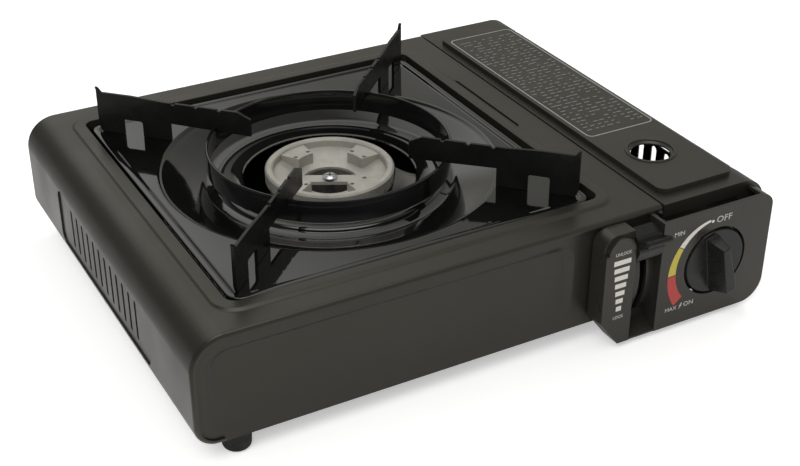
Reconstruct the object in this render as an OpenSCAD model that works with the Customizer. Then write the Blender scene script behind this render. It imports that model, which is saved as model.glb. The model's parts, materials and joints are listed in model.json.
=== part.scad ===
// Tabletop butane cassette stove: a bent sheet body, a loose enamelled drip tray and pan support,
// a cast burner, a hinged lid over the cartridge bay, and the valve, igniter and lock lever behind
// a moulded control panel. Each module draws one sub-part in place, in stove coordinates:
// x runs right from the left side, y runs back from the front edge, z runs up from the table.

/* [Body] */
// Width over the body and the cartridge lid
body_w = 343; // [338:1:356]
// Depth of the body from front edge to back edge
body_d = 266; // [262:1:280]
// Height of the top plate above the table
top_z = 75; // [74:0.5:80]
// Height of the feet
foot_h = 12.7; // [12:0.1:14]
// Radius of a foot
foot_r = 8; // [6:0.5:9]
// Thickness of the sheet steel
sheet = 0.8; // [0.6:0.1:1]
// Outer bend radius at the top left
top_corner_r = 18; // [14:1:20]
// Outer bend radius at the bottom left
bottom_corner_r = 12; // [8:1:13]
// Radius of the curled front and back edges
curl_r = 2.5; // [2:0.1:3]
// Depth that the curled edge reaches below the sheet's face
curl_drop = 2.8; // [2.6:0.1:3.4]
// Width of the cartridge lid, seam to right side
bay_w = 71.1; // [70.5:0.1:72]
// Gap along the seam beside the lid
seam_gap = 0.8; // [0.5:0.1:1.2]
// How far the end plates sit behind the body's edge
plate_inset = 1.2; // [1.1:0.1:1.6]
// Depth of the pressed frame in the end plates, at its top
press_depth = 2.4; // [1:0.1:3]

/* [Vents] */
// Number of upright slots in the left side
left_slots = 12; // [8:1:13]
// Spacing of the left side's slots
left_slot_pitch = 9.54; // [8:0.1:10]
// Width of a slot in the left side
left_slot_w = 2.8; // [1.5:0.1:3]
// Height of a slot in the left side
left_slot_h = 23.7; // [18:0.1:26]
// Number of upright slots in the right side
right_slots = 11; // [6:1:12]
// Spacing of the right side's slots
right_slot_pitch = 12.3; // [10:0.1:14]
// Width of a slot in the right side
right_slot_w = 5; // [2.5:0.1:6]

/* [Cook top] */
// Left edge of the tray opening
opening_x = 29.6; // [28:0.1:31]
// Front edge of the tray opening
opening_y = 22.2; // [21:0.1:24]
// Distance of the tray opening from the seam beside the lid
opening_seam = 25.6; // [24:0.1:28]
// Distance of the tray opening from the back edge
opening_rear = 22.8; // [21:0.1:26]
// Corner radius of the tray opening
opening_r = 6; // [4:0.5:10]
// Width of the raised border round the opening
border_w = 7; // [5:0.5:8]
// Height of the raised border
border_h = 1.1; // [0.8:0.1:1.4]

/* [Drip tray] */
// Gap between the tray and the opening
tray_gap = 2.7; // [2:0.1:3.5]
// Height of the tray's rim above the table
rim_z = 74.3; // [73.5:0.1:75]
// Width of the tray's raised rim
rim_w = 4.5; // [3.5:0.1:6]
// Depth of the tray's outer skirt
skirt_h = 3.3; // [3:0.1:4]
// Flat left between the tray opening and the tray's round well
well_margin = 12.55; // [11:0.05:15]
// Radius of the hole round the burner
tray_hole_r = 49.2; // [46:0.1:52]
// Height of the well's bottom ledge above the table
ledge_z = 65; // [64.5:0.1:66]
// How far the tray can be lifted off
tray_seat = 0.2; // [0.1:0.1:0.4]

/* [Pan support] */
// Outer radius of the support ring
ring_r = 69.2; // [66:0.1:72]
// Thickness of the ring's wall
ring_t = 1.3; // [1:0.1:2]
// Top of the ring above the table
ring_top = 87; // [86:0.1:89]
// Bottom of the ring above the table
ring_bottom = 73.5; // [73.3:0.1:75]
// Thickness of an arm
arm_t = 1.8; // [1.4:0.1:2.4]
// Distance of an arm's foot from the tray's corner
arm_inset = 6.7; // [5:0.1:10]
// Height of the pan's resting edge above the table
arm_top = 97.5; // [94:0.5:102]

/* [Burner] */
// Outer radius of the burner cap
cap_r = 36.8; // [34:0.1:39]
// Inner radius of the cap's rim
cap_rim_r = 32.4; // [31.5:0.1:33]
// Top of the burner cap above the table
cap_z = 71.5; // [70.5:0.1:73]
// Radius of the opening in the middle of the cap
cap_hole_r = 16; // [14:0.1:17]
// Number of flame slots round the cap
flame_slots = 24; // [16:1:30]
// Bearing of the mixing tube, from the right towards the back
tube_bearing = -27.5; // [-30:0.5:-25]
// Outer radius of the mixing tube
tube_r = 9.5; // [8:0.1:10]
// Wall of the mixing tube
tube_wall = 1.2; // [1:0.1:2]

/* [Cartridge] */
// Diameter of the butane cartridge that the bay takes
cartridge_d = 66; // [64:0.5:67]
// Distance that the carriage pushes the cartridge
carriage_travel = 9; // [7:0.5:10]
// Radius of the inlet bore for the cartridge's nozzle
inlet_r = 2.1; // [1.9:0.05:2.4]
// Length of the inlet bore
inlet_l = 8; // [6:0.5:9]

/* [Lid] */
// Outer radius of the lid's right edge
lid_r = 15; // [13:0.5:16]
// Height of the lid's raised plateau
plateau_h = 3; // [2.5:0.1:3.5]
// Radius of the finger hole
finger_r = 11.5; // [10:0.1:12]
// Radius of the rim round the finger hole
finger_rim_r = 15.1; // [14.5:0.1:16]
// Radius of the hinge pins
hinge_r = 2; // [1.6:0.1:2.4]
// Height of the hinge axis above the table
hinge_z = 60; // [59:0.5:61]
// Distance of the hinge axis from the right side
hinge_in = 8; // [7.5:0.1:8.5]

/* [Controls] */
// Left edge of the control panel, from the right side
panel_left = 116.5; // [114:0.5:118]
// Right edge of the control panel, from the right side
panel_right = 4.5; // [4:0.5:6]
// How far the panel stands in front of the body
panel_reach = 13.1; // [12:0.1:14]
// Top of the panel above the table
panel_top = 72.3; // [71:0.1:73]
// Bottom of the panel above the table
panel_bottom = 4; // [3:0.5:6]
// Wall thickness of the panel
panel_wall = 2.2; // [1.8:0.1:2.5]
// Radius of the knob's disc
knob_r = 20.5; // [18:0.1:21]
// How far the knob's grip stands in front of the panel
grip_reach = 12.5; // [10:0.1:13]
// Lean of the grip to the left when off
grip_lean = 14; // [0:1:20]
// Radius of the valve spindle
spindle_r = 3; // [2.5:0.1:3.5]
// Width of the lever's channel in the panel
channel_w = 17.3; // [17:0.1:18]
// Radius of the channel's curved floor, round the lever's pivot
channel_r = 48; // [47:0.1:49]
// Angle of the lever above level when unlocked
lever_rest = 26; // [24:0.5:26]
// Thickness of the lock lever
lever_t = 3; // [2.5:0.1:3.2]
// Radius of the lever's pivot pin
pivot_r = 2.5; // [2:0.1:2.8]

/* [Fits] */
// Radial clearance of a pin or shaft that turns in a hole
running_fit = 0.06; // [0.04:0.01:0.09]
// Gap between two bodies that move past each other
move_gap = 0.4; // [0.3:0.05:0.5]

/* [Hidden] */
$fn = 72;

front_reach = panel_reach + grip_reach;
row_y = (front_reach - body_d) / 2;
skin = 0.01;
big = 400;

// heights of the body
base_z = foot_h;
floor_z = base_z + sheet;
floor_top = floor_z + sheet;
top_under = top_z - sheet;
seam_x = body_w - bay_w;
wrap_right = seam_x - seam_gap / 2;
lid_left = seam_x + seam_gap / 2;
wrap_lip = bottom_corner_r + 3;
wrap_flange = 9;
mid_z0 = base_z + bottom_corner_r;
mid_z1 = top_z - top_corner_r;

// end plates
plate_y = plate_inset;
plate_back = plate_y + sheet;
plate_margin = 2;
plate_left_x = bottom_corner_r + 4;
press_r = 12;
press_x0 = 8.2;
press_end = 10;
press_low = 4.3;
press_fade = 0.2;
press_x1 = body_w - panel_left - press_end;
press_z0 = base_z + press_low;
press_z1 = top_z - 7.6;
plate_flange_d = 10;
plate_flange_x0 = 36;
plate_flange_x1 = seam_x - 31.9;
seam_notch_w = 3.1;
case_screw_x = [70, seam_x - 60];
case_screw_y = [plate_back + plate_flange_d / 2, body_d - plate_back - plate_flange_d / 2];
foot_in_x = 24.7;
foot_in_y = 10.9;
foot_stem_r = 2.4;
foot_at = [[foot_in_x, foot_in_y], [body_w - foot_in_x, foot_in_y],
    [foot_in_x, body_d - foot_in_y], [body_w - foot_in_x, body_d - foot_in_y]];

// tray opening and its inner flange
opening_x1 = seam_x - opening_seam;
opening_y1 = body_d - opening_rear;
opening_w = opening_x1 - opening_x;
opening_d = opening_y1 - opening_y;
opening_half = min(opening_w, opening_d) / 2;
well_r = opening_half - well_margin;
arm_r = (opening_half - tray_gap) * sqrt(2) - arm_inset;
burner_x = opening_x + opening_w / 2;
burner_y = opening_y + opening_d / 2;
tray_skirt_z = rim_z - skirt_h;
tab_z = tray_skirt_z - tray_seat;
tab_w = 14;
tab_d = 6;
tab_in = 30;
rib_x = seam_x - 18.2;
rib_y0 = body_d / 2 - 16;
rib_y1 = rib_y0 + 75;
rib_w = 6;
rib_depth = 1.4;

// left side vents
vent_y = body_d / 2;
vent_z = 40.6;
vent_pocket_d = 147;
vent_pocket_h = 34;
vent_pocket_in = 1;
vent_pocket_r = 6;

// cartridge bay
bay_x = body_w - 37;
cartridge_r = cartridge_d / 2;
bay_z = 43.6;
trough_r = cartridge_r + 0.5;
trough_y0 = 52;
trough_y1 = body_d - 21;
right_wall_top = hinge_z - 8;
base_corner_r = 11.2;
right_slot_z0 = 20;
right_slot_z1 = right_wall_top - 2;
right_slot_y = body_d / 2;

// partition
partition_x1 = wrap_right - sheet;
partition_x0 = partition_x1 - sheet;

// raised part of the lid and its finger hole
plateau_rear = 16.8;
plateau_x0 = lid_left + 5.1;
plateau_x1 = body_w - lid_r;
plateau_y0 = 9.1;
plateau_y1 = body_d - plateau_rear;
plateau_r = 6;
finger_x = body_w - 41.8;
finger_y = 50.1;

// hinge of the lid
hinge_x = body_w - hinge_in;
hinge_gap = 0.3;
hinge_ear_t = 1.2;
hinge_ys = [20, body_d - 21];
hinge_foot_z = hinge_z - 24;
ear_r = 5.6;
sweep_r = 11.2;
scallop_w = 9;

// control panel
panel_x0 = body_w - panel_left;
panel_x1 = body_w - panel_right;
panel_face = -panel_reach;
panel_back = -0.3;
knob_x = body_w - 41.8;
knob_z = 38.9;
knob_hole_r = knob_r + 0.5;
grip_tip = knob_r - 3.5;
grip_tail = knob_r - 3;
grip_draft = 2.5;
channel_x = body_w - 88.35;
lever_x = channel_x + 1.35;
channel_x0 = channel_x - channel_w / 2;
channel_x1 = channel_x + channel_w / 2;
pivot_y = 40;
pivot_z = 38;
channel_z0 = pivot_z - 24;
channel_z1 = pivot_z + 24;
slab_y = -1.5;
slot_w = 4.5;
slot_z0 = 14.5;
lever_gate = 3.7;
lever_gate_z0 = slot_z0 + 2;
lever_gate_z1 = 66;
shoulder_d = 2.4;
chin_rise = 5.5;
panel_top_end = 8;
panel_screw_at = [[panel_x0 + 7.5, 58], [panel_x0 + 49, 61], [panel_x1 - 12.5, 19],
    [panel_x0 + 49, 19]];
boss_r = 3.6;
screw_r = 1.4;
screw_head_r = 3;
screw_head_h = 1.6;
screw_play = 0.15;

// lever
lever_travel = 46;
arm_swing = lever_travel / 2;
lever_arm = carriage_travel / (2 * sin(arm_swing));
drive_y = pivot_y + lever_arm * sin(arm_swing);
drive_z = pivot_z + lever_arm * cos(arm_swing);
drive_pin_r = 1.5;
lever_w = 8;
lever_hub_r = 7;
lever_end = channel_r + 4.5;
tip_r0 = channel_r + 1.5;
tip_t = 10;
tip_edge = 3;
tip_gap = 0.4;
tip_x = channel_x - lever_x;
tip_w = channel_w - 2 * tip_gap;
tip_h = 19;
tip_crown = 12;
fin_l = 9;
fin_w = tip_w - 0.6;
fin_t = 4.4;
ear_gap = 5.2;
bracket_t = 1.2;
bracket_z1 = 70;
web_half = 18;
bracket_x0 = lever_x - ear_gap - bracket_t;
bracket_x1 = lever_x + ear_gap + bracket_t;

// carriage
slide_x0 = partition_x1 + move_gap;
slide_t = 1.2;
slide_z0 = 51;
slide_z1 = 61;
slide_y1 = body_d - 17;
pusher_t = 1.5;

// valve and igniter
valve_r = 11;
valve_y1 = 38;
valve_flange_r = 16;
valve_flange_t = 1.5;
governor_y = 22;
governor_z = 52;
governor_t = 6;
pipe_z = governor_z + 3;
governor_r = 17;
seat_r = 12.5;
seat_y0 = 38;
seat_y1 = 50;
seal_y = seat_y1 - 2;
seal_r = 6.2;
guide_r = 22;
piezo_lean = -50;
piezo_reach = 17.5;
piezo_x = knob_x + piezo_reach * cos(piezo_lean);
piezo_z = knob_z + piezo_reach * sin(piezo_lean);
piezo_r = 6;
piezo_y1 = 42;
plunger_r = 2.5;
plunger_nose = -3;
cam_y0 = -5.3;
cam_t = 2;

// burner
tube_axis_z = 53;
body_floor = 46;
body_top = cap_z - 7.5;
cap_seat_z = body_top - 3;
tube_start = 30;
jet_wall_gap = 10;
tube_end = (partition_x0 - jet_wall_gap - burner_x) / cos(tube_bearing) - 8.5;
jet_tip = tube_end + 1;
jet_block = tube_end + 4;
jet_end = tube_end + 13;
jet_r = 5;
pipe_r = 2.5;
pipe_bend = 8;
jet_x = burner_x + (jet_block + jet_end) / 2 * cos(tube_bearing);
jet_y = burner_y + (jet_block + jet_end) / 2 * sin(tube_bearing);
pad_bearing = 18;
pad_r0 = 20.5;
pad_r1 = 31;
pad_half = 16;
pad_z = cap_z - 1.4;
bridge_w = 8;
bridge_t = 2;
bridge_z = cap_seat_z + bridge_t;
bracket_top = body_floor - sheet;

// electrode
electrode_bearing = -97;
electrode_r = 42.5;
electrode_z0 = 46;
electrode_z1 = 62;
electrode_x = burner_x + electrode_r * cos(electrode_bearing);
electrode_y = burner_y + electrode_r * sin(electrode_bearing);
insulator_r = 2.5;

// a point between the electrode and the lead's hole in the partition
function lead_at(kx, ky, z) = [electrode_x + kx * (partition_x0 - electrode_x),
    electrode_y + ky * (lead_hole_y - electrode_y), z];

// route of the ignition lead, from the igniter under the valve to the electrode
lead_r = 1.2;
lead_sides = 8;
lead_hole_y = 47.5;
lead_hole_z = 19;
lead_route = [
    [piezo_x, piezo_y1 + 0.1, piezo_z], [piezo_x, 44, piezo_z], [piezo_x - 3, 47, 24],
    [knob_x - 1.2, lead_hole_y, 20], [knob_x - 15.2, lead_hole_y, lead_hole_z],
    [partition_x1 + 1.3, lead_hole_y, lead_hole_z], lead_at(0.943, 0.99, 19),
    lead_at(0.855, 0.895, 18), lead_at(0.724, 0.71, 17), lead_at(0.578, 0.547, 17),
    lead_at(0.432, 0.43, 17), lead_at(0.286, 0.337, 17), lead_at(0.155, 0.267, 18),
    lead_at(0.067, 0.198, 21), lead_at(0.016, 0.128, 27), lead_at(0, 0.058, 35),
    [electrode_x, electrode_y, 41], [electrode_x, electrode_y, electrode_z0 - 0.1]];

// ---------------------------------------------------------------- helpers

module place() {
    translate([-body_w / 2, row_y, 0]) children();
}

// extrudes an outline drawn as (x, z) from y0 back to y1
module upright(y0, y1) {
    translate([0, y1, 0]) rotate([90, 0, 0]) linear_extrude(y1 - y0) children();
}

// extrudes an outline drawn as (y, z) from x0 right to x1
module sideways(x0, x1) {
    translate([x0, 0, 0]) rotate([90, 0, 90]) linear_extrude(x1 - x0) children();
}

// a cylinder along the y axis
module rod_y(r, y0, y1) {
    translate([0, y1, 0]) rotate([90, 0, 0]) cylinder(r = r, h = y1 - y0);
}

// a cylinder along the x axis
module rod_x(r, x0, x1) {
    translate([x0, 0, 0]) rotate([0, 90, 0]) cylinder(r = r, h = x1 - x0);
}

module box(x0, y0, z0, x1, y1, z1) {
    translate([x0, y0, z0]) cube([x1 - x0, y1 - y0, z1 - z0]);
}

module round_rect(x0, y0, x1, y1, r) {
    for (x = [x0 + r, x1 - r], y = [y0 + r, y1 - r]) translate([x, y]) circle(r = r);
    translate([x0 + r, y0]) square([x1 - x0 - 2 * r, y1 - y0]);
    translate([x0, y0 + r]) square([x1 - x0, y1 - y0 - 2 * r]);
}

module slots(count, pitch, w, h, r) {
    for (i = [0:count - 1]) {
        at = (i - (count - 1) / 2) * pitch;
        round_rect(at - w / 2, -h / 2, at + w / 2, h / 2, r);
    }
}

module opening_2d(grow) {
    round_rect(opening_x - grow, opening_y - grow, opening_x1 + grow, opening_y1 + grow,
        opening_r + grow);
}

// ---------------------------------------------------------------- body

// end view of the space inside the bent sheet, `inset` in from its outer face
module wrap_area(inset, right) {
    translate([top_corner_r, mid_z1]) circle(r = top_corner_r - inset);
    translate([bottom_corner_r, mid_z0]) circle(r = bottom_corner_r - inset);
    translate([inset, mid_z0]) square([right - inset, mid_z1 - mid_z0]);
    translate([top_corner_r, mid_z1]) square([right - top_corner_r, top_corner_r - inset]);
    translate([bottom_corner_r, base_z + inset])
        square([right - bottom_corner_r, bottom_corner_r - inset]);
}

module wrap_sheet_2d() {
    difference() {
        wrap_area(0, wrap_right);
        wrap_area(sheet, wrap_right + 1);
        translate([wrap_lip, base_z - 1]) square([body_w, mid_z1 - base_z]);
    }
    translate([wrap_right - sheet, top_z - wrap_flange]) square([sheet, wrap_flange]);
}

// section of the curled edge: x out from the sheet's face, y back from the edge
module curl_section() {
    difference() {
        intersection() {
            translate([-curl_r, curl_r]) circle(r = curl_r);
            translate([-curl_r, 0]) square([curl_r, curl_r]);
        }
        translate([-curl_r, curl_r]) circle(r = curl_r - sheet);
    }
    translate([-curl_drop, 0]) square([curl_drop - curl_r, sheet]);
}

module curled_corner(r, turn) {
    rotate([-90, 0, 0]) rotate([0, 0, turn]) rotate_extrude(angle = 90)
        translate([r, 0]) curl_section();
}

module curled_edge() {
    translate([wrap_right, 0, top_z]) rotate([0, -90, 0])
        linear_extrude(wrap_right - top_corner_r) curl_section();
    translate([top_corner_r, 0, mid_z1]) curled_corner(top_corner_r, 180);
    translate([0, 0, mid_z1]) rotate([0, 180, 0]) linear_extrude(mid_z1 - mid_z0) curl_section();
    translate([bottom_corner_r, 0, mid_z0]) curled_corner(bottom_corner_r, 90);
    translate([bottom_corner_r, 0, base_z]) rotate([0, 90, 0])
        linear_extrude(wrap_lip - bottom_corner_r) curl_section();
}

module tray_border() {
    difference() {
        union() {
            translate([0, 0, top_z - sheet]) linear_extrude(sheet + border_h / 2) difference() {
                opening_2d(border_w);
                opening_2d(0);
            }
            translate([0, 0, top_z]) linear_extrude(border_h) difference() {
                opening_2d(border_w - 1);
                opening_2d(0);
            }
            translate([0, 0, tab_z - sheet]) linear_extrude(top_z + border_h - tab_z + sheet)
                difference() {
                    opening_2d(sheet);
                    opening_2d(0);
                }
        }
        translate([0, 0, top_z - 2 * sheet]) linear_extrude(sheet + border_h) difference() {
            opening_2d(border_w - 2);
            opening_2d(sheet);
        }
    }
}

module tray_tabs() {
    for (x = [opening_x + tab_in, opening_x1 - tab_in], side = [0, 1]) {
        y = side == 0 ? opening_y - skin : opening_y1 - tab_d + skin;
        box(x - tab_w / 2, y, tab_z - sheet, x + tab_w / 2, y + tab_d, tab_z);
    }
}

module vent_pocket(w, h, r) {
    round_rect(vent_y - w / 2, vent_z - h / 2, vent_y + w / 2, vent_z + h / 2, r);
}

module body_shell() {
    color([0.23, 0.23, 0.21]) place() {
        difference() {
            union() {
                upright(curl_r, body_d - curl_r) wrap_sheet_2d();
                curled_edge();
                translate([0, body_d, 0]) mirror([0, 1, 0]) curled_edge();
                sideways(sheet / 2, sheet + vent_pocket_in)
                    vent_pocket(vent_pocket_d + 2, vent_pocket_h + 2, vent_pocket_r + 1);
                translate([0, 0, top_z - sheet - rib_depth]) linear_extrude(sheet + rib_depth)
                    round_rect(rib_x - rib_w / 2 - sheet, rib_y0 - sheet,
                        rib_x + rib_w / 2 + sheet, rib_y1 + sheet, rib_w / 2);
            }
            translate([0, 0, top_z - sheet - 1]) linear_extrude(sheet + 2) opening_2d(border_w - 1.5);
            sideways(-1, vent_pocket_in) vent_pocket(vent_pocket_d, vent_pocket_h, vent_pocket_r);
            sideways(-1, sheet + vent_pocket_in + 1) translate([vent_y, vent_z])
                slots(left_slots, left_slot_pitch, left_slot_w, left_slot_h, left_slot_w / 2 - skin);
            translate([0, 0, top_z - rib_depth]) linear_extrude(rib_depth + 1)
                round_rect(rib_x - rib_w / 2, rib_y0, rib_x + rib_w / 2, rib_y1, rib_w / 2 - skin);
        }
        tray_border();
        tray_tabs();
    }
}

// end view of a front or back plate
module end_plate_2d() {
    difference() {
        union() {
            intersection() {
                wrap_area(plate_margin, partition_x1);
                translate([0, base_z]) square([body_w, top_z]);
            }
            translate([plate_left_x, base_z]) square([body_w - plate_left_x - base_corner_r, 20]);
            translate([body_w - base_corner_r, base_z + base_corner_r]) circle(r = base_corner_r);
            translate([partition_x1 - 1, base_z + base_corner_r])
                square([bay_w + 2.2, right_wall_top - base_z - base_corner_r]);
            translate([lid_left + sheet + move_gap, base_z + base_corner_r])
                square([body_w - lid_r - lid_left - sheet - move_gap,
                    top_under - move_gap - base_z - base_corner_r]);
        }
        translate([hinge_x, hinge_z]) circle(r = sweep_r);
        translate([partition_x0 - 0.2, top_z - wrap_flange - move_gap]) square([seam_notch_w, top_z]);
        translate([hinge_x, right_wall_top]) square([bay_w, top_z]);
        translate([body_w, 0]) square([big, top_z]);
    }
}

module press_2d(grow) {
    round_rect(press_x0 - grow, press_z0 - grow, press_x1 + grow, press_z1 + grow, press_r + grow);
}

module end_plate(y0) {
    difference() {
        union() {
            upright(y0, y0 + sheet) end_plate_2d();
            intersection() {
                upright(y0 + sheet / 2, y0 + sheet + press_depth) press_2d(sheet);
                sideways(0, seam_x) press_slope(y0, y0 + sheet, sheet);
            }
        }
        intersection() {
            upright(y0 - 1, y0 + press_depth) press_2d(0);
            sideways(0, seam_x) press_slope(y0 - 1, y0, 0);
        }
    }
}

// side view of the press: its back leans from no depth at the bottom to full depth at the top
module press_slope(y_front, y_back, grow) {
    polygon([[y_front, press_z0 - grow], [y_back + press_fade, press_z0 - grow],
        [y_back + press_depth, press_z1 + grow], [y_front, press_z1 + grow]]);
}

module plate_flange(y0, y1) {
    difference() {
        box(plate_flange_x0, y0, floor_top, plate_flange_x1, y1, floor_top + sheet);
        for (x = case_screw_x) translate([x, (y0 + y1) / 2, 0])
            cylinder(r = screw_r + screw_play, h = base_z * 2);
    }
}

module front_plate() {
    color([0.22, 0.22, 0.2]) place() {
        difference() {
            end_plate(plate_y);
            // openings for the spindle, the plunger, the lever and the panel's screws
            translate([knob_x, 0, knob_z]) rod_y(spindle_r + 1.5, -1, plate_back + 3);
            translate([piezo_x, 0, piezo_z]) rod_y(plunger_r + 0.5, -1, plate_back + 3);
            box(lever_x - lever_gate, -1, lever_gate_z0, lever_x + lever_gate, plate_back + 3, lever_gate_z1);
            for (p = panel_screw_at) translate([p[0], 0, p[1]])
                rod_y(screw_r + screw_play, -1, plate_back + 3);
        }
        plate_flange(plate_back - skin, plate_back + plate_flange_d);
    }
}

module back_plate() {
    color([0.22, 0.22, 0.2]) place() {
        translate([0, body_d, 0]) mirror([0, 1, 0]) end_plate(plate_y);
        plate_flange(body_d - plate_back - plate_flange_d, body_d - plate_back + skin);
    }
}

// end view of the floor and the right wall
module base_2d() {
    difference() {
        union() {
            translate([bottom_corner_r, floor_z])
                square([body_w - bottom_corner_r - base_corner_r, base_corner_r]);
            translate([body_w - base_corner_r, floor_z + base_corner_r]) circle(r = base_corner_r);
            translate([body_w - base_corner_r, floor_z + base_corner_r])
                square([base_corner_r, right_wall_top - floor_z - base_corner_r]);
        }
        translate([0, floor_top]) square([body_w - base_corner_r, top_z]);
        translate([body_w - base_corner_r, floor_z + base_corner_r])
            circle(r = base_corner_r - sheet);
        translate([0, floor_z + base_corner_r]) square([body_w - sheet, top_z]);
    }
}

// end view of the trough below the cartridge: the ring part that is lower than the floor
module trough_2d(r0, r1) {
    intersection() {
        difference() {
            translate([bay_x, bay_z]) circle(r = r1);
            if (r0 > 0)
                translate([bay_x, bay_z]) circle(r = r0);
        }
        translate([bay_x - trough_r, 0]) square([2 * trough_r, floor_top]);
    }
}

module base_plate() {
    color([0.2, 0.2, 0.19]) place() difference() {
        union() {
            difference() {
                upright(plate_back, body_d - plate_back) base_2d();
                upright(trough_y0, trough_y1) trough_2d(0, trough_r);
            }
            upright(trough_y0 - sheet, trough_y1 + sheet) trough_2d(trough_r, trough_r + sheet);
            upright(trough_y0 - sheet, trough_y0) trough_2d(0, trough_r + sheet);
            upright(trough_y1, trough_y1 + sheet) trough_2d(0, trough_r + sheet);
        }
        for (p = foot_at) translate([p[0], p[1], 0]) cylinder(r = foot_stem_r + 0.1, h = top_z);
        for (x = case_screw_x, y = case_screw_y) translate([x, y, 0])
            cylinder(r = screw_r + screw_play, h = top_z);
        translate([0, right_slot_y, (right_slot_z0 + right_slot_z1) / 2])
            sideways(body_w - 5, body_w + 5)
                slots(right_slots, right_slot_pitch, right_slot_w, right_slot_z1 - right_slot_z0,
                    right_slot_w / 2 - skin);
    }
}

// side view of the partition between the burner and the cartridge
module partition_2d() {
    difference() {
        translate([plate_back + 0.1, floor_top])
            square([body_d - 2 * plate_back - 0.2, top_under - floor_top]);
        // slot for the lever's drive pin, hole for the gas pipe, notch for the lead
        translate([drive_y - lever_arm - 1, drive_z - 3.2]) square([2 * lever_arm - 3, 6.4]);
        translate([governor_y, pipe_z]) circle(r = pipe_r + 0.5);
        translate([lead_hole_y, lead_hole_z]) circle(r = lead_r + 1.8);
    }
}

module partition_plate() {
    hook_t = 1;
    color([0.45, 0.45, 0.44]) place() {
        sideways(partition_x0, partition_x1) partition_2d();
        box(partition_x0 - 8, plate_back + plate_flange_d + 1, floor_top,
            partition_x0 + skin, body_d - plate_back - plate_flange_d - 1, floor_top + sheet);
        // hooks that guide the carriage strip
        for (y = [90, 205]) {
            box(partition_x1 - skin, y, slide_z1 + 0.3, slide_x0 + slide_t + 0.3 + hook_t, y + 10,
                slide_z1 + 0.3 + hook_t);
            box(slide_x0 + slide_t + 0.3, y, slide_z1 - 1.2, slide_x0 + slide_t + 0.3 + hook_t,
                y + 10, slide_z1 + 0.3 + skin);
            box(partition_x1 - skin, y, slide_z0 - 0.3 - hook_t, slide_x0 + slide_t, y + 10,
                slide_z0 - 0.3);
        }
    }
}

module foot(i) {
    color([0.1, 0.1, 0.1]) place() translate([foot_at[i][0], foot_at[i][1], 0]) {
        rotate_extrude() union() {
            translate([0, 0]) square([foot_r - 3, 3]);
            intersection() {
                translate([foot_r - 3.5, 3]) circle(r = 3);
                square([foot_r, 3]);
            }
            polygon([[0, 3], [foot_r - 0.5, 3], [foot_r, floor_z], [0, floor_z]]);
        }
        translate([0, 0, floor_z - skin]) cylinder(r = foot_stem_r, h = sheet + skin);
        translate([0, 0, floor_top]) cylinder(r1 = foot_stem_r + 0.8, r2 = foot_stem_r - 0.6, h = 2.5);
    }
}

module foot_front_left() { foot(0); }
module foot_front_right() { foot(1); }
module foot_rear_left() { foot(2); }
module foot_rear_right() { foot(3); }

module case_screws() {
    color([0.7, 0.7, 0.7]) place() for (x = case_screw_x, y = case_screw_y) translate([x, y, 0]) {
        translate([0, 0, floor_z - screw_head_h]) cylinder(r = screw_head_r, h = screw_head_h);
        translate([0, 0, floor_z - skin]) cylinder(r = screw_r, h = 6);
    }
}

// ---------------------------------------------------------------- lid and its hinge

// end view of the lid's outer face, `inset` in from it
module lid_area(inset) {
    translate([body_w - lid_r, top_z - lid_r]) circle(r = lid_r - inset);
    translate([lid_left + inset, hinge_z - 3]) square([bay_w - lid_r - seam_gap / 2 - inset,
        top_z - inset - hinge_z + 3]);
    translate([body_w - 2 * lid_r, hinge_z - 3]) square([2 * lid_r - inset, 3 + top_z - lid_r - hinge_z]);
}

module lid_shell_2d() {
    difference() {
        lid_area(0);
        lid_area(sheet);
        translate([0, 0]) square([body_w - lid_r, top_z - 3.5]);
        translate([0, 0]) square([body_w, hinge_z - 3]);
    }
}

module lid_flange_2d() {
    intersection() {
        lid_area(0);
        union() {
            translate([lid_left, top_z - 8]) square([bay_w, 8]);
            translate([body_w - lid_r - 3, hinge_z - 3]) square([lid_r + 3, lid_r]);
        }
    }
}

module plateau_2d(inset) {
    round_rect(plateau_x0 + inset, plateau_y0 + inset, plateau_x1 - inset, plateau_y1 - inset,
        plateau_r - inset);
}

module lid_ear(y) {
    upright(y, y + hinge_ear_t) difference() {
        union() {
            translate([hinge_x, hinge_z]) circle(r = ear_r);
            intersection() {
                lid_area(sheet / 2);
                translate([hinge_x - 12, hinge_z]) square([12, lid_r]);
            }
        }
        translate([hinge_x, hinge_z]) circle(r = hinge_r + running_fit);
    }
}

module cartridge_lid() {
    color([0.27, 0.27, 0.25]) place() {
        difference() {
            union() {
                upright(0, body_d) lid_shell_2d();
                upright(0, sheet) lid_flange_2d();
                upright(body_d - sheet, body_d) lid_flange_2d();
                translate([0, 0, top_z - sheet]) linear_extrude(sheet + plateau_h) plateau_2d(0);
            }
            translate([0, 0, top_z - 2 * sheet]) linear_extrude(sheet + plateau_h) plateau_2d(sheet);
            translate([finger_x, finger_y, 0]) cylinder(r = finger_rim_r - 1, h = big);
            // scallops that clear the hinge brackets
            for (y = hinge_ys) translate([body_w - lid_r + 4, y, hinge_z - 4])
                rotate([0, 90, 0]) scallop();
        }
        finger_rim();
        for (y = hinge_ys) lid_ear(y + hinge_ear_t / 2 + hinge_gap);
    }
}

// cutter for one scallop: a round-topped notch drawn from the right
module scallop() {
    translate([-13, 0, 0]) cylinder(r = scallop_w / 2, h = 2 * lid_r);
    translate([-13, -scallop_w / 2, 0]) cube([20, scallop_w, 2 * lid_r]);
}

module finger_rim() {
    rim_z0 = top_z + plateau_h;
    translate([finger_x, finger_y, 0]) rotate_extrude() union() {
        polygon([[finger_r, rim_z0 - 2], [finger_r, rim_z0 - 1.2], [finger_rim_r - 1.8, rim_z0],
            [finger_rim_r - 1.2, rim_z0 - sheet], [finger_rim_r - 2.4, rim_z0 - 1.2]]);
        translate([finger_rim_r - 1.2, rim_z0 - 0.2]) circle(r = 1);
    }
}

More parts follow.
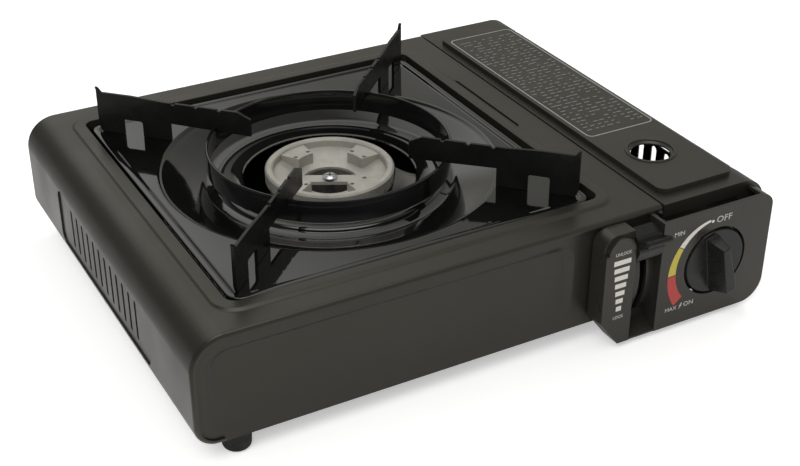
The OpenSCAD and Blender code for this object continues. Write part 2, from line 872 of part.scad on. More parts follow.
module hinge_bracket(y) {
    color([0.2, 0.2, 0.19]) place() difference() {
        union() {
            upright(y - hinge_ear_t / 2, y + hinge_ear_t / 2) {
                translate([hinge_x, hinge_z]) circle(r = ear_r);
                polygon([[hinge_x - ear_r, hinge_z], [hinge_x + ear_r, hinge_z],
                    [hinge_x + ear_r, right_wall_top], [body_w - sheet, right_wall_top - 3],
                    [body_w - sheet, hinge_foot_z], [hinge_x - ear_r, right_wall_top]]);
            }
            box(body_w - sheet - hinge_ear_t, y - 8, hinge_foot_z, body_w - sheet,
                y + hinge_ear_t / 2, right_wall_top - 3);
        }
        translate([hinge_x, 0, hinge_z]) rod_y(hinge_r + running_fit, y - 5, y + 5);
    }
}

module hinge_pin(y) {
    color([0.75, 0.75, 0.74]) place() translate([hinge_x, 0, hinge_z]) {
        rod_y(hinge_r, y - hinge_ear_t / 2 - skin, y + 1.5 * hinge_ear_t + hinge_gap + 0.5);
        rod_y(hinge_r + 1.2, y - hinge_ear_t / 2 - 1, y - hinge_ear_t / 2);
        rod_y(hinge_r + 1.2, y + 1.5 * hinge_ear_t + 2 * hinge_gap,
            y + 1.5 * hinge_ear_t + 2 * hinge_gap + 1);
    }
}

module hinge_bracket_front() { hinge_bracket(hinge_ys[0]); }
module hinge_bracket_rear() { hinge_bracket(hinge_ys[1]); }
module hinge_pin_front() { hinge_pin(hinge_ys[0]); }
module hinge_pin_rear() { hinge_pin(hinge_ys[1]); }

// ---------------------------------------------------------------- control panel

module panel_outline(inset) {
    r_top = 8 - inset;
    r_low = 14 - inset;
    x0 = panel_x0 + inset;
    x1 = panel_x1 - inset;
    z0 = panel_bottom + inset;
    z1 = panel_top - inset;
    translate([x1 - r_top, z1 - r_top]) circle(r = r_top);
    translate([x1 - r_low, z0 + r_low]) circle(r = r_low);
    translate([x0 + r_top, z1 - r_top]) circle(r = r_top);
    polygon([[x0, z1 - r_top], [x0, z0 + 16], [x0 + 12, z0], [x1 - r_low, z0], [x1, z0 + r_low],
        [x1, z1 - r_top], [x1 - r_top, z1], [x0 + r_top, z1]]);
}

// side view of the channel's floor: an arc round the lever's pivot, and a straight part below it
module channel_floor_2d() {
    intersection() {
        union() {
            difference() {
                translate([pivot_y, pivot_z]) circle(r = channel_r);
                translate([pivot_y, pivot_z]) circle(r = channel_r - panel_wall);
            }
            translate([slab_y, panel_bottom]) square([panel_back - slab_y, channel_z0 - panel_bottom + 1]);
        }
        translate([panel_face, panel_bottom]) square([panel_back - panel_face, channel_z1 - panel_bottom]);
    }
}

module control_panel() {
    inner_y = panel_face + panel_wall;
    tongue_x = panel_x0 + 10.7;
    tongue_r = 8.8;
    tongue_z = 62;
    color([0.18, 0.18, 0.17]) place() {
        difference() {
            union() {
                difference() {
                    upright(panel_face, panel_back) panel_outline(0);
                    upright(inner_y, panel_back + 1) panel_outline(panel_wall);
                }
                // cheeks of the lever's channel
                for (x = [channel_x0 - panel_wall, channel_x1])
                    intersection() {
                        upright(panel_face, panel_back) panel_outline(0);
                        box(x, panel_face, panel_bottom, x + panel_wall, panel_back, panel_top);
                    }
                for (p = panel_screw_at) translate([p[0], 0, p[1]]) rod_y(boss_r, inner_y - skin, plate_y);
                // wall behind the sunk shoulders
                intersection() {
                    upright(inner_y - skin, panel_face + shoulder_d + panel_wall) panel_outline(0);
                    box(panel_x0, panel_face, tongue_z - panel_wall, channel_x0, panel_back, panel_top);
                }
            }
            // the top is open behind the front wall, right of the channel
            box(channel_x1 + panel_wall, inner_y, panel_top - panel_wall - 1, panel_x1 - panel_top_end,
                panel_back + 2, panel_top + 1);
            // the channel, open at the front and the top
            box(channel_x0, panel_face - 1, 0, channel_x1, panel_back + 1, top_z);
            translate([knob_x, 0, knob_z]) rod_y(knob_hole_r, panel_face - 1, inner_y + 1);
            // the shoulders beside the cheek's round top
            upright(panel_face - 1, panel_face + shoulder_d) difference() {
                translate([panel_x0 - 1, tongue_z]) square([channel_x0 - panel_x0 + 1, top_z]);
                translate([tongue_x, tongue_z]) circle(r = tongue_r);
            }
            for (p = panel_screw_at) translate([p[0], 0, p[1]])
                rod_y(screw_r + screw_play, inner_y + 1, plate_y + 1);
        }
        difference() {
            sideways(channel_x0 - skin, channel_x1 + skin) channel_floor_2d();
            box(lever_x - slot_w / 2, panel_face - 5, slot_z0, lever_x + slot_w / 2, 10, top_z);
        }
        // chin that closes the channel's lower end
        sideways(channel_x0 - skin, channel_x1 + skin) polygon([[slab_y, panel_bottom + chin_rise],
            [panel_face + 0.3, panel_bottom + 1], [panel_face + 0.3, panel_bottom], [slab_y, panel_bottom]]);
    }
}

module panel_screws() {
    color([0.7, 0.7, 0.7]) place() for (p = panel_screw_at) translate([p[0], 0, p[1]]) {
        rod_y(screw_head_r, plate_back, plate_back + screw_head_h);
        rod_y(screw_r, panel_face + panel_wall + 2, plate_back + skin);
    }
}

// plan of the knob's wedge grip: pointer end up, seen from the front
module grip_2d(tip, tail, tip_half, tail_half) {
    polygon([[-tip_half, tip], [tip_half, tip], [tail_half, -tail], [-tail_half, -tail]]);
}

module control_knob() {
    disc_y0 = panel_face - 0.4;
    disc_y1 = panel_face + 3.2;
    grip_y = panel_face - grip_reach;
    color([0.12, 0.12, 0.12]) place() translate([knob_x, 0, knob_z]) {
        difference() {
            union() {
                rod_y(knob_r, disc_y0, disc_y1);
                rod_y(6.5, disc_y1 - skin, cam_y0 - 0.1);
            }
            rod_y(spindle_r + 0.02, -10, 1);
        }
        rotate([0, -grip_lean, 0]) hull() {
            translate([0, disc_y0 + skin, 0]) rotate([90, 0, 0]) linear_extrude(skin)
                grip_2d(grip_tip, grip_tail, 4, 6.5);
            translate([0, grip_y + skin, 0]) rotate([90, 0, 0]) linear_extrude(skin)
                grip_2d(grip_tip - grip_draft, grip_tail - grip_draft, 2.2, 3.4);
        }
    }
}

module valve_spindle() {
    color([0.75, 0.68, 0.4]) place() translate([knob_x, 0, knob_z]) rod_y(spindle_r, -9.9, 20);
}

module igniter_cam() {
    color([0.15, 0.15, 0.15]) place() translate([knob_x, 0, knob_z]) difference() {
        union() {
            rod_y(6.5, cam_y0, cam_y0 + cam_t);
            rotate([90, 0, 0]) translate([0, 0, -cam_y0 - cam_t]) linear_extrude(cam_t)
                intersection() {
                    circle(r = piezo_reach + 2);
                    polygon([[0, 0], [30, 0], [30, -60], [0, -60]]);
                }
        }
        rod_y(spindle_r + 0.02, cam_y0 - 1, cam_y0 + cam_t + 1);
    }
}

// ---------------------------------------------------------------- lock lever and carriage

// turns a lever drawn with its shank along z and its upper side towards y to its rest angle
module lever_pose() {
    translate([lever_x, pivot_y, pivot_z]) rotate([90 - lever_rest, 0, 0]) children();
}

module lock_lever() {
    color([0.72, 0.72, 0.7]) place() difference() {
        union() {
            lever_pose() {
                rod_x(lever_hub_r, -lever_t / 2, lever_t / 2);
                box(-lever_t / 2, -lever_w / 2, 0, lever_t / 2, lever_w / 2, lever_end);
            }
            translate([lever_x, pivot_y, pivot_z]) {
                rod_x(pivot_r + 2.2, -ear_gap + 0.3, ear_gap - 0.3);
                rotate([-arm_swing, 0, 0]) box(-lever_t / 2, -3.5, 0, lever_t / 2, 3.5, lever_arm);
            }
            translate([0, drive_y, drive_z]) {
                rod_x(3.5, lever_x - lever_t / 2, lever_x + lever_t / 2);
                rod_x(drive_pin_r, lever_x, slide_x0 + slide_t);
            }
        }
        translate([0, pivot_y, pivot_z]) rod_x(pivot_r + running_fit, 0, body_w);
    }
}

module lever_knob() {
    color([0.08, 0.08, 0.08]) place() lever_pose() difference() {
        union() {
            // a block with a rounded crown, and a fin for the finger
            hull() {
                for (s = [-1, 1]) {
                    tip_rod(s * (tip_h / 2 - tip_edge), tip_r0 + tip_edge, tip_edge, tip_w);
                    tip_rod(s * (tip_crown / 2 - tip_edge), tip_r0 + tip_t - tip_edge, tip_edge, tip_w);
                }
            }
            hull() {
                tip_rod(0, tip_r0 + tip_t - tip_edge, fin_t / 2, tip_w);
                tip_rod(0, tip_r0 + tip_t + fin_l - fin_t / 2, fin_t / 2 - 0.4, fin_w);
            }
        }
        box(-lever_t / 2 - 0.1, -lever_w / 2 - 0.1, 0, lever_t / 2 + 0.1, lever_w / 2 + 0.1,
            lever_end);
    }
}

// a round edge of the finger block: t up from the lever, r out from the pivot
module tip_rod(t, r, edge, w) {
    translate([tip_x, t, r]) rotate([0, 90, 0]) cylinder(r = edge, h = w, center = true, $fn = 32);
}

module lever_bracket() {
    base_z0 = floor_top;
    y0 = plate_back;
    color([0.6, 0.6, 0.58]) place() difference() {
        union() {
            box(bracket_x0, y0, base_z0, bracket_x1, y0 + bracket_t, bracket_z1);
            for (x = [bracket_x0, bracket_x1 - bracket_t]) sideways(x, x + bracket_t) {
                polygon([[y0, pivot_z - web_half], [y0, pivot_z + web_half], [pivot_y, pivot_z + lever_hub_r],
                    [pivot_y, pivot_z - lever_hub_r]]);
                translate([pivot_y, pivot_z]) circle(r = lever_hub_r);
            }
        }
        translate([0, pivot_y, pivot_z]) rod_x(pivot_r + running_fit, 0, body_w);
        box(lever_x - lever_gate, 0, lever_gate_z0, lever_x + lever_gate, y0 + bracket_t + 1, lever_gate_z1);
    }
}

module lever_pivot() {
    color([0.78, 0.78, 0.76]) place() translate([0, pivot_y, pivot_z]) {
        rod_x(pivot_r, bracket_x0 - skin, bracket_x1 + skin);
        rod_x(pivot_r + 1.5, bracket_x0 - 1.2, bracket_x0);
        rod_x(pivot_r + 1.5, bracket_x1, bracket_x1 + 1.2);
    }
}

// strip along the partition with the drive slot at the front and the pusher at the back
module cartridge_slide() {
    front = drive_y - 7;
    color([0.7, 0.7, 0.69]) place() {
        difference() {
            sideways(slide_x0, slide_x0 + slide_t) {
                translate([front, slide_z0]) square([slide_y1 - front, slide_z1 - slide_z0]);
                translate([front, drive_z - 5]) square([14, slide_z0 + 1 - drive_z + 5]);
            }
            sideways(slide_x0 - 1, slide_x0 + slide_t + 1) translate([drive_y, drive_z])
                round_rect(-drive_pin_r - move_gap, -3.2, drive_pin_r + move_gap, 3.2,
                    drive_pin_r + move_gap - skin);
        }
        upright(slide_y1 - pusher_t, slide_y1) {
            translate([slide_x0, slide_z0]) square([20, slide_z1 - slide_z0]);
            translate([bay_x, bay_z]) circle(r = 21);
        }
    }
}

// ---------------------------------------------------------------- valve and igniter

module valve_body() {
    color([0.72, 0.66, 0.42]) place() difference() {
        union() {
            translate([knob_x, 0, knob_z]) {
                rod_y(valve_flange_r, plate_back, plate_back + valve_flange_t);
                rod_y(valve_r, plate_back, valve_y1);
            }
            translate([knob_x, governor_y, knob_z]) cylinder(r = 12, h = governor_z - knob_z);
            translate([bay_x, 0, bay_z]) rod_y(8, valve_y1 - 12, valve_y1);
            // clip that holds the igniter
            translate([piezo_x, 0, piezo_z]) rod_y(piezo_r + 1.5, 20, 26);
            hull() {
                translate([piezo_x, 0, piezo_z]) rod_y(4, 20, 26);
                translate([knob_x, 0, knob_z]) rod_y(4, 20, 26);
            }
        }
        translate([knob_x, 0, knob_z]) rod_y(spindle_r + running_fit, 0, 22);
        translate([piezo_x, 0, piezo_z]) rod_y(piezo_r + 0.05, 0, body_d);
    }
}

module governor_cover() {
    color([0.8, 0.8, 0.78]) place() translate([knob_x, governor_y, governor_z]) {
        cylinder(r = governor_r, h = governor_t);
        translate([0, 0, governor_t - skin]) cylinder(r = 11, h = 2.5);
        translate([0, 0, governor_t + 2]) cylinder(r = 5, h = 2);
        for (a = [45:90:315]) rotate([0, 0, a]) translate([13.8, 0, governor_t - skin])
            cylinder(r = 2, h = 1.2);
        translate([0, 0, pipe_z - governor_z]) rotate([0, -90, 0])
            cylinder(r = 1.9, h = governor_r + 1);
    }
}

module inlet_seat() {
    color([0.75, 0.7, 0.45]) place() translate([bay_x, 0, bay_z]) difference() {
        union() {
            rod_y(8, seat_y0, seat_y1 - 5);
            rod_y(seat_r, seat_y1 - 5 - skin, seat_y1);
        }
        rod_y(inlet_r, seal_y - inlet_l, seat_y1 + 1);
        rod_y(seal_r, seal_y, seat_y1 + 1);
    }
}

module inlet_seal() {
    color([0.1, 0.1, 0.1]) place() translate([bay_x, 0, bay_z]) difference() {
        rod_y(seal_r - 0.05, seal_y, seat_y1 - 0.2);
        rod_y(inlet_r + 0.6, seal_y - 1, seat_y1 + 1);
    }
}

module cartridge_guide() {
    y0 = seat_y1 + 0.6;
    y1 = y0 + 1;
    color([0.6, 0.6, 0.58]) place() difference() {
        union() {
            upright(y0, y1) {
                translate([bay_x, bay_z]) circle(r = guide_r);
                translate([bay_x - guide_r, floor_top]) square([2 * guide_r, bay_z - floor_top]);
            }
            box(bay_x - guide_r, y0 - 8, floor_top, bay_x + guide_r, y0 + skin, floor_top + 1);
        }
        upright(y0 - 1, y1 + 1) difference() {
            translate([bay_x, bay_z]) circle(r = 17.5);
            translate([bay_x - 2, bay_z + 15.5]) square([4, 4]);
        }
    }
}

module gas_pipe() {
    z = pipe_z;
    x_left = jet_x;
    color([0.78, 0.5, 0.32]) place() {
        translate([0, governor_y, z]) rod_x(pipe_r, x_left + pipe_bend, knob_x - governor_r - 1);
        translate([x_left + pipe_bend, governor_y + pipe_bend, z]) rotate([0, 0, 180])
            rotate_extrude(angle = 90) translate([pipe_bend, 0]) circle(r = pipe_r);
        translate([x_left, 0, z]) rod_y(pipe_r, governor_y + pipe_bend, jet_y - jet_r + 0.6);
    }
}

// things on the mixing tube's axis are drawn along +x from the burner's centre
module along_tube() {
    translate([burner_x, burner_y, tube_axis_z]) rotate([0, 0, tube_bearing]) children();
}

module jet_nozzle() {
    color([0.8, 0.7, 0.35]) place() difference() {
        along_tube() {
            rod_x(jet_r, jet_block, jet_end);
            translate([jet_tip, 0, 0]) rotate([0, 90, 0])
                cylinder(r1 = 1.6, r2 = 3.2, h = jet_block - jet_tip + skin);
        }
        translate([jet_x, 0, pipe_z]) rod_y(pipe_r + 0.05, governor_y, jet_y);
    }
}

module mixing_tube() {
    color([0.72, 0.71, 0.68]) place() along_tube() difference() {
        union() {
            rod_x(tube_r, tube_start + 6, tube_end);
            rod_x(tube_r + 1.6, tube_end - 6, tube_end);
        }
        rod_x(tube_r - tube_wall, tube_start, tube_end + 1);
        // air inlets near the mouth
        for (a = [0, 180]) rotate([a, 0, 0]) translate([tube_end - 14, 0, 0])
            cylinder(r = 4, h = 2 * tube_r);
    }
}

// ---------------------------------------------------------------- burner

module burner_body() {
    color([0.75, 0.74, 0.7]) place() {
        difference() {
            union() {
                translate([burner_x, burner_y, 0]) rotate_extrude() polygon([
                    [cap_hole_r - 1, body_floor], [30, body_floor], [33.5, body_floor + 5],
                    [35.6, body_top], [cap_hole_r - 1, body_top]]);
                along_tube() rod_x(tube_r + 1.5, 20, tube_start + 12);
            }
            // gas chamber, open under the cap
            translate([burner_x, burner_y, 0]) rotate_extrude() polygon([
                [cap_hole_r + 1.5, body_floor + 2.5], [29, body_floor + 2.5],
                [31.5, body_floor + 7], [33, body_top + 1], [cap_hole_r + 1.5, body_top + 1]]);
            along_tube() {
                rod_x(tube_r - tube_wall, 20, tube_start + 20);
                rod_x(tube_r + 0.05, tube_start + 6, tube_start + 20);
            }
            // seat for the cap's inner sleeve
            translate([burner_x, burner_y, cap_seat_z]) cylinder(r = cap_hole_r + 2, h = 40);
        }
        translate([burner_x, burner_y, 0]) rotate([0, 0, tube_bearing]) difference() {
            box(-cap_hole_r, -bridge_w / 2, body_floor, cap_hole_r, bridge_w / 2, body_floor + 5);
            cylinder(r = 2.1, h = big);
        }
    }
}

module burner_cap() {
    floor_out = cap_z - 4.5;
    floor_in = cap_z - 9.5;
    color([0.8, 0.79, 0.75]) place() translate([burner_x, burner_y, 0]) {
        difference() {
            union() {
                rotate_extrude() union() {
                    polygon([[cap_rim_r, floor_out - 2.5], [cap_rim_r, cap_z - 0.8],
                        [cap_rim_r + 0.8, cap_z], [cap_r - 1, cap_z], [cap_r, cap_z - 1],
                        [cap_r, body_top], [cap_rim_r, body_top]]);
                    polygon([[cap_hole_r, floor_in], [cap_rim_r - 1.2, floor_out],
                        [cap_rim_r + skin, floor_out], [cap_rim_r + skin, floor_out - 2.8],
                        [cap_hole_r + 1.5, cap_seat_z], [cap_hole_r, cap_seat_z]]);
                }
                for (a = [0:90:270]) rotate([0, 0, pad_bearing + a]) pad();
            }
            for (i = [0:flame_slots - 1]) rotate([0, 0, i * 360 / flame_slots])
                box(cap_rim_r - 1, -0.7, body_top - 1, cap_r + 1, 0.7, body_top + 2.2);
            for (a = [0:90:270], s = [-12, 12]) rotate([0, 0, pad_bearing + a + s])
                translate([23.5, 0, pad_z - 5]) cylinder(r = 1.25, h = 10);
        }
        rotate([0, 0, tube_bearing]) difference() {
            box(-cap_hole_r - 0.5, -bridge_w / 2, cap_seat_z, cap_hole_r + 0.5, bridge_w / 2, bridge_z);
            cylinder(r = 2.1, h = big);
        }
    }
}

// a raised pad on the cap's sloping floor, drawn on the +x side
module pad() {
    translate([0, 0, cap_z - 8.5]) linear_extrude(pad_z - cap_z + 8.5) intersection() {
        difference() {
            circle(r = pad_r1 + 1.6);
            circle(r = pad_r0);
        }
        polygon([[0, 0], [50 * cos(pad_half), -50 * sin(pad_half)],
            [50 * cos(pad_half), 50 * sin(pad_half)]]);
    }
}

module burner_screw() {
    color([0.8, 0.8, 0.82]) place() translate([burner_x, burner_y, 0]) difference() {
        union() {
            translate([0, 0, bridge_z]) cylinder(r = 4.2, h = 1.6);
            translate([0, 0, bridge_z + 1.6 - skin]) cylinder(r1 = 4.2, r2 = 2.6, h = 1);
            translate([0, 0, body_floor + 1]) cylinder(r = 2, h = bridge_z - body_floor - 1 + skin);
        }
        for (a = [0, 90]) rotate([0, 0, a + tube_bearing])
            box(-2.4, -0.45, bridge_z + 1.4, 2.4, 0.45, bridge_z + 4);
    }
}

module burner_bracket() {
    w = 26;
    reach = 24;
    color([0.45, 0.45, 0.44]) place() translate([burner_x, burner_y, 0]) difference() {
        union() {
            box(-w / 2, -reach, bracket_top, w / 2, reach, bracket_top + sheet);
            for (s = [-1, 1]) {
                box(-w / 2, s * reach - (s > 0 ? sheet : 0), floor_top, w / 2,
                    s * reach + (s > 0 ? 0 : sheet), bracket_top + skin);
                box(-w / 2, s > 0 ? reach : -reach - 10, floor_top, w / 2,
                    s > 0 ? reach + 10 : -reach, floor_top + sheet);
            }
        }
        cylinder(r = 8, h = big);
    }
}

// ---------------------------------------------------------------- electrode and lead

module electrode_insulator() {
    color([0.93, 0.92, 0.88]) place() translate([electrode_x, electrode_y, 0]) difference() {
        union() {
            translate([0, 0, electrode_z0]) cylinder(r = insulator_r, h = electrode_z1 - electrode_z0);
            translate([0, 0, electrode_z0 + 5]) cylinder(r = insulator_r + 0.8, h = 3);
        }
        translate([0, 0, electrode_z0 - 1]) cylinder(r = 0.95, h = big);
    }
}

module electrode() {
    top = cap_z - 3;
    back = electrode_r - cap_r - 1.8;
    color([0.7, 0.7, 0.7]) place() translate([electrode_x, electrode_y, 0]) {
        translate([0, 0, electrode_z0]) cylinder(r = 0.9, h = top - electrode_z0);
        rotate([0, 0, electrode_bearing]) translate([-back, 0, top]) rod_x(0.9, 0, back);
        translate([0, 0, top]) sphere(r = 0.9);
    }
}

module electrode_bracket() {
    half = 6;
    post = electrode_r - 5.5;
    tab_top = electrode_z0 + 5;
    color([0.6, 0.6, 0.58]) place() translate([burner_x, burner_y, 0])
        rotate([0, 0, electrode_bearing]) difference() {
            union() {
                box(post, -half, tab_top - sheet, electrode_r + 5, half, tab_top);
                box(post, -half, floor_top, post + sheet, half, tab_top - skin);
                box(post, -half, floor_top, post + 11, half, floor_top + sheet);
            }
            translate([electrode_r, 0, electrode_z0]) cylinder(r = insulator_r + 0.05, h = 10);
        }
}

module piezo_igniter() {
    color([0.15, 0.15, 0.16]) place() translate([piezo_x, 0, piezo_z]) difference() {
        rod_y(piezo_r, plate_back, piezo_y1);
        rod_y(plunger_r + running_fit, 0, 16);
    }
}

module piezo_plunger() {
    color([0.85, 0.85, 0.82]) place() translate([piezo_x, 0, piezo_z])
        rod_y(plunger_r, plunger_nose, 10);
}

// one swept tube through the hand-chosen points
function lead_dir(i) = let (n = len(lead_route), a = lead_route[max(i - 1, 0)],
    b = lead_route[min(i + 1, n - 1)]) (b - a) / norm(b - a);
function lead_side(i) = let (d = lead_dir(i), s = cross(d, abs(d[2]) > 0.9 ? [1, 0, 0] : [0, 0, 1]))
    s / norm(s);
function lead_ring(i) = let (d = lead_dir(i), s = lead_side(i), u = cross(s, d))
    [for (k = [0:lead_sides - 1]) lead_route[i] + lead_r * (cos(k * 360 / lead_sides) * s
        + sin(k * 360 / lead_sides) * u)];

module ignition_lead() {
    n = len(lead_route);
    points = [for (i = [0:n - 1]) each lead_ring(i)];
    sides = [for (i = [0:n - 2], k = [0:lead_sides - 1]) let (m = (k + 1) % lead_sides)
        [i * lead_sides + k, i * lead_sides + m, (i + 1) * lead_sides + m, (i + 1) * lead_sides + k]];
    ends = [[for (k = [lead_sides - 1:-1:0]) k], [for (k = [0:lead_sides - 1]) (n - 1) * lead_sides + k]];
    color([0.85, 0.84, 0.8]) place() polyhedron(points, concat(sides, ends));
}

// ---------------------------------------------------------------- drip tray

module tray_2d(inset) {
    g = tray_gap + inset;
    round_rect(opening_x + g, opening_y + g, opening_x1 - g, opening_y1 - g, opening_r + 2 - inset);
}

module drip_tray() {
    flat_z = rim_z - 1;
    step_in = well_r - 3.8;
    // top face of the well, from the flat in to the burner hole
    well_top = [[well_r, flat_z], [well_r - 1.8, flat_z - 1.4], [step_in, flat_z - 1.6],
        [71.5, ledge_z + 0.3], [70, ledge_z], [64, ledge_z], [62.8, ledge_z + 1.2],
        [61, ledge_z + 1.2], [60, ledge_z + 0.6], [56.5, ledge_z + 0.6], [54, ledge_z + 0.1],
        [tray_hole_r + 1, ledge_z + 0.3], [tray_hole_r, ledge_z + 0.9]];
    n = len(well_top);
    well_under = [for (i = [0:n - 1]) [well_top[n - 1 - i][0], well_top[n - 1 - i][1] - sheet]];
    color([0.05, 0.05, 0.05]) place() {
        translate([0, 0, flat_z - sheet]) linear_extrude(sheet) difference() {
            tray_2d(rim_w - 1);
            translate([burner_x, burner_y]) circle(r = well_r - skin);
        }
        translate([burner_x, burner_y, 0]) rotate_extrude() polygon(concat(well_top, well_under));
        translate([0, 0, flat_z - sheet]) linear_extrude(1 + sheet) difference() {
            tray_2d(rim_w - 1.4);
            tray_2d(rim_w);
        }
        translate([0, 0, rim_z - sheet]) linear_extrude(sheet) difference() {
            tray_2d(1);
            tray_2d(rim_w - 0.4);
        }
        translate([0, 0, tray_skirt_z]) linear_extrude(skirt_h - 1) difference() {
            tray_2d(0);
            tray_2d(sheet);
        }
        translate([0, 0, rim_z - 1 - skin]) linear_extrude(0.6) difference() {
            tray_2d(0.3);
            tray_2d(1.4);
        }
    }
}

// ---------------------------------------------------------------- pan support

module support_ring() {
    color([0.05, 0.05, 0.05]) place() translate([burner_x, burner_y, 0]) difference() {
        translate([0, 0, ring_bottom]) cylinder(r = ring_r, h = ring_top - ring_bottom);
        translate([0, 0, ring_bottom - 1]) cylinder(r = ring_r - ring_t, h = 50);
        for (a = [45:90:315]) rotate([0, 0, a])
            box(ring_r - 5, -arm_t / 2 - 0.05, arm_top - 13, ring_r + 5, arm_t / 2 + 0.05, big);
    }
}

// side view of an arm: x out from the burner's centre, y up from the table
module arm_2d() {
    foot_z = rim_z - 1 + 0.2;
    bar_z = arm_top - 13;
    difference() {
        polygon([[ring_r - 22.4, bar_z - 1.3], [arm_r - 45.9, bar_z], [arm_r - 45.9, foot_z],
            [arm_r - 1.8, foot_z], [arm_r, foot_z + 4], [arm_r, arm_top + 2.8],
            [arm_r + 0.6, arm_top + 4.2], [arm_r - 0.8, arm_top + 3.8], [arm_r - 3, arm_top + 1.1],
            [arm_r - 21.7, arm_top + 1.1], [arm_r - 41.7, arm_top], [ring_r - 14.7, arm_top],
            [ring_r - 22.4, arm_top - 3.7]]);
        for (r = [ring_r - 3.2, arm_r - 62.3, arm_r - 48.2]) translate([r, arm_top]) circle(r = 1.3);
        round_rect(arm_r - 28.2, foot_z - 5, arm_r - 16.1, foot_z + 9.6, 1.5);
        translate([ring_r - ring_t - 0.05, bar_z - 10]) square([ring_t + 0.1, 10]);
    }
}

module support_arm(i) {
    color([0.05, 0.05, 0.05]) place() translate([burner_x, burner_y, 0])
        rotate([0, 0, 45 + 90 * i]) translate([0, arm_t / 2, 0]) rotate([90, 0, 0])
            linear_extrude(arm_t) arm_2d();
}

module support_arm_1() { support_arm(0); }
module support_arm_2() { support_arm(1); }
module support_arm_3() { support_arm(2); }
module support_arm_4() { support_arm(3); }

// ---------------------------------------------------------------- draw

body_shell();
front_plate();
back_plate();
base_plate();
partition_plate();
foot_front_left();
foot_front_right();
foot_rear_left();
foot_rear_right();
control_panel();
panel_screws();
case_screws();
valve_body();
governor_cover();
inlet_seat();
inlet_seal();
cartridge_guide();
gas_pipe();
jet_nozzle();
mixing_tube();
burner_body();
burner_cap();
burner_screw();
burner_bracket();
electrode();
electrode_insulator();
electrode_bracket();
ignition_lead();
piezo_igniter();
piezo_plunger();
lever_bracket();
lever_pivot();
hinge_bracket_front();
hinge_bracket_rear();
hinge_pin_front();
hinge_pin_rear();
cartridge_lid();
control_knob();
valve_spindle();
igniter_cam();
lock_lever();
lever_knob();
cartridge_slide();
drip_tray();
support_ring();
support_arm_1();
support_arm_2();
support_arm_3();
support_arm_4();
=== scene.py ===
# %% [markdown]
# # A tabletop gas stove, dressed over its CAD frame
# The CAD model already holds every sheet, casting, lever and screw at its real size. This notebook
# gives each of them the finish that the real one has, and models again the few pieces whose soft
# edges, rolled rims or printed marks a plain solid can't show. Lengths are in metres, +Z is up,
# and nothing here moves: each new piece rides on the CAD body that carries it.

# %% Load the frame
import json
import math

import bmesh
import bpy
from mathutils import Matrix, Vector


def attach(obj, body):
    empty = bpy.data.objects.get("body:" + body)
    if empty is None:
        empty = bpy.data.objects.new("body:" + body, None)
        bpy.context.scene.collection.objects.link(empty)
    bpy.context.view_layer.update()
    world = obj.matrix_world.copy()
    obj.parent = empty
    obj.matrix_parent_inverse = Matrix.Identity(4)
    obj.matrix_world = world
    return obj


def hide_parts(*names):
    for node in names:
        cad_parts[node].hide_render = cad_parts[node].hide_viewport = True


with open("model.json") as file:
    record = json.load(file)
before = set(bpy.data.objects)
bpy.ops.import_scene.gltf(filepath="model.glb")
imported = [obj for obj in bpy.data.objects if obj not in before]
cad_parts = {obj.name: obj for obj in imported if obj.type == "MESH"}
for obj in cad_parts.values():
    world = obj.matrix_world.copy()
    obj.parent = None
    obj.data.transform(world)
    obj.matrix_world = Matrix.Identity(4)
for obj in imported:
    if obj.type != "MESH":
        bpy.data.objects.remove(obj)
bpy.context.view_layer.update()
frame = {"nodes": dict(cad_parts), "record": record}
nodes = frame["nodes"]

# %% [markdown]
# ## One way to say where things are
# A maker measures a stove from its own corner: to the right from the left side, back from the front
# edge, up from the table, all in millimetres. `spot` turns such a place into the frame's metres, so
# every number below can be read straight off the real thing.

# %% Millimetres on the stove to metres in the frame
MM = 0.001
LEFT_SIDE = -171.5
FRONT_EDGE = -120.2


def spot(x, y, z):
    return Vector(((x + LEFT_SIDE) * MM, (y + FRONT_EDGE) * MM, z * MM))


print("front left foot stands at", tuple(round(v, 4) for v in spot(24.7, 10.9, 0)))

# %% [markdown]
# ## The camera
# A product picture of a flat thing is taken from above eye level with a longish lens, so that the
# top shows and the sides hardly taper. The camera is placed by its three angles rather than by a
# tracking constraint, because plain numbers give the same frame in every run.

# %% Camera
SENSOR = 36.0
PICTURE_WIDTH = 800
FOCAL_PIXELS = 1423.6154
EYE = (-0.34364, -0.63390, 0.45116)
TURN, LOOK_DOWN, ROLL = -0.503289, 0.535161, 0.002515


def put_in_scene(name, data):
    thing = bpy.data.objects.new(name, data)
    bpy.context.scene.collection.objects.link(thing)
    return thing


lens_data = bpy.data.cameras.new("product_view")
camera = put_in_scene("product_view", lens_data)
camera.matrix_world = (
    Matrix.Translation(EYE)
    @ Matrix.Rotation(TURN, 4, "Z")
    @ Matrix.Rotation(math.pi / 2 - LOOK_DOWN, 4, "X")
    @ Matrix.Rotation(ROLL, 4, "Z")
)
lens_data.sensor_width = SENSOR
lens_data.sensor_fit = "HORIZONTAL"
lens_data.lens = FOCAL_PIXELS / PICTURE_WIDTH * SENSOR
lens_data.clip_start = 0.01
bpy.context.scene.camera = camera
bpy.context.scene.view_settings.view_transform = "Standard"
print("camera lens:", round(lens_data.lens, 2), "mm")

# %% [markdown]
# ## Nodes in few words
# The room, the floor, the finishes and the repeated shapes are all node trees. `add_node` makes one
# node with its settings, and feeds each of its inputs either a plain value or another node's
# output. `maths` and `remap` are the two nodes that are wanted most.

# %% Node helpers


def feed(tree, socket, value):
    if isinstance(value, bpy.types.NodeSocket):
        tree.links.new(value, socket)
    else:
        socket.default_value = value


def add_node(tree, kind, inputs=None, **settings):
    node = tree.nodes.new(kind)
    for setting, value in settings.items():
        setattr(node, setting, value)
    for label, value in (inputs or {}).items():
        feed(tree, node.inputs[label], value)
    return node


def maths(tree, operation, a, b):
    return add_node(tree, "ShaderNodeMath", {0: a, 1: b}, operation=operation).outputs[0]


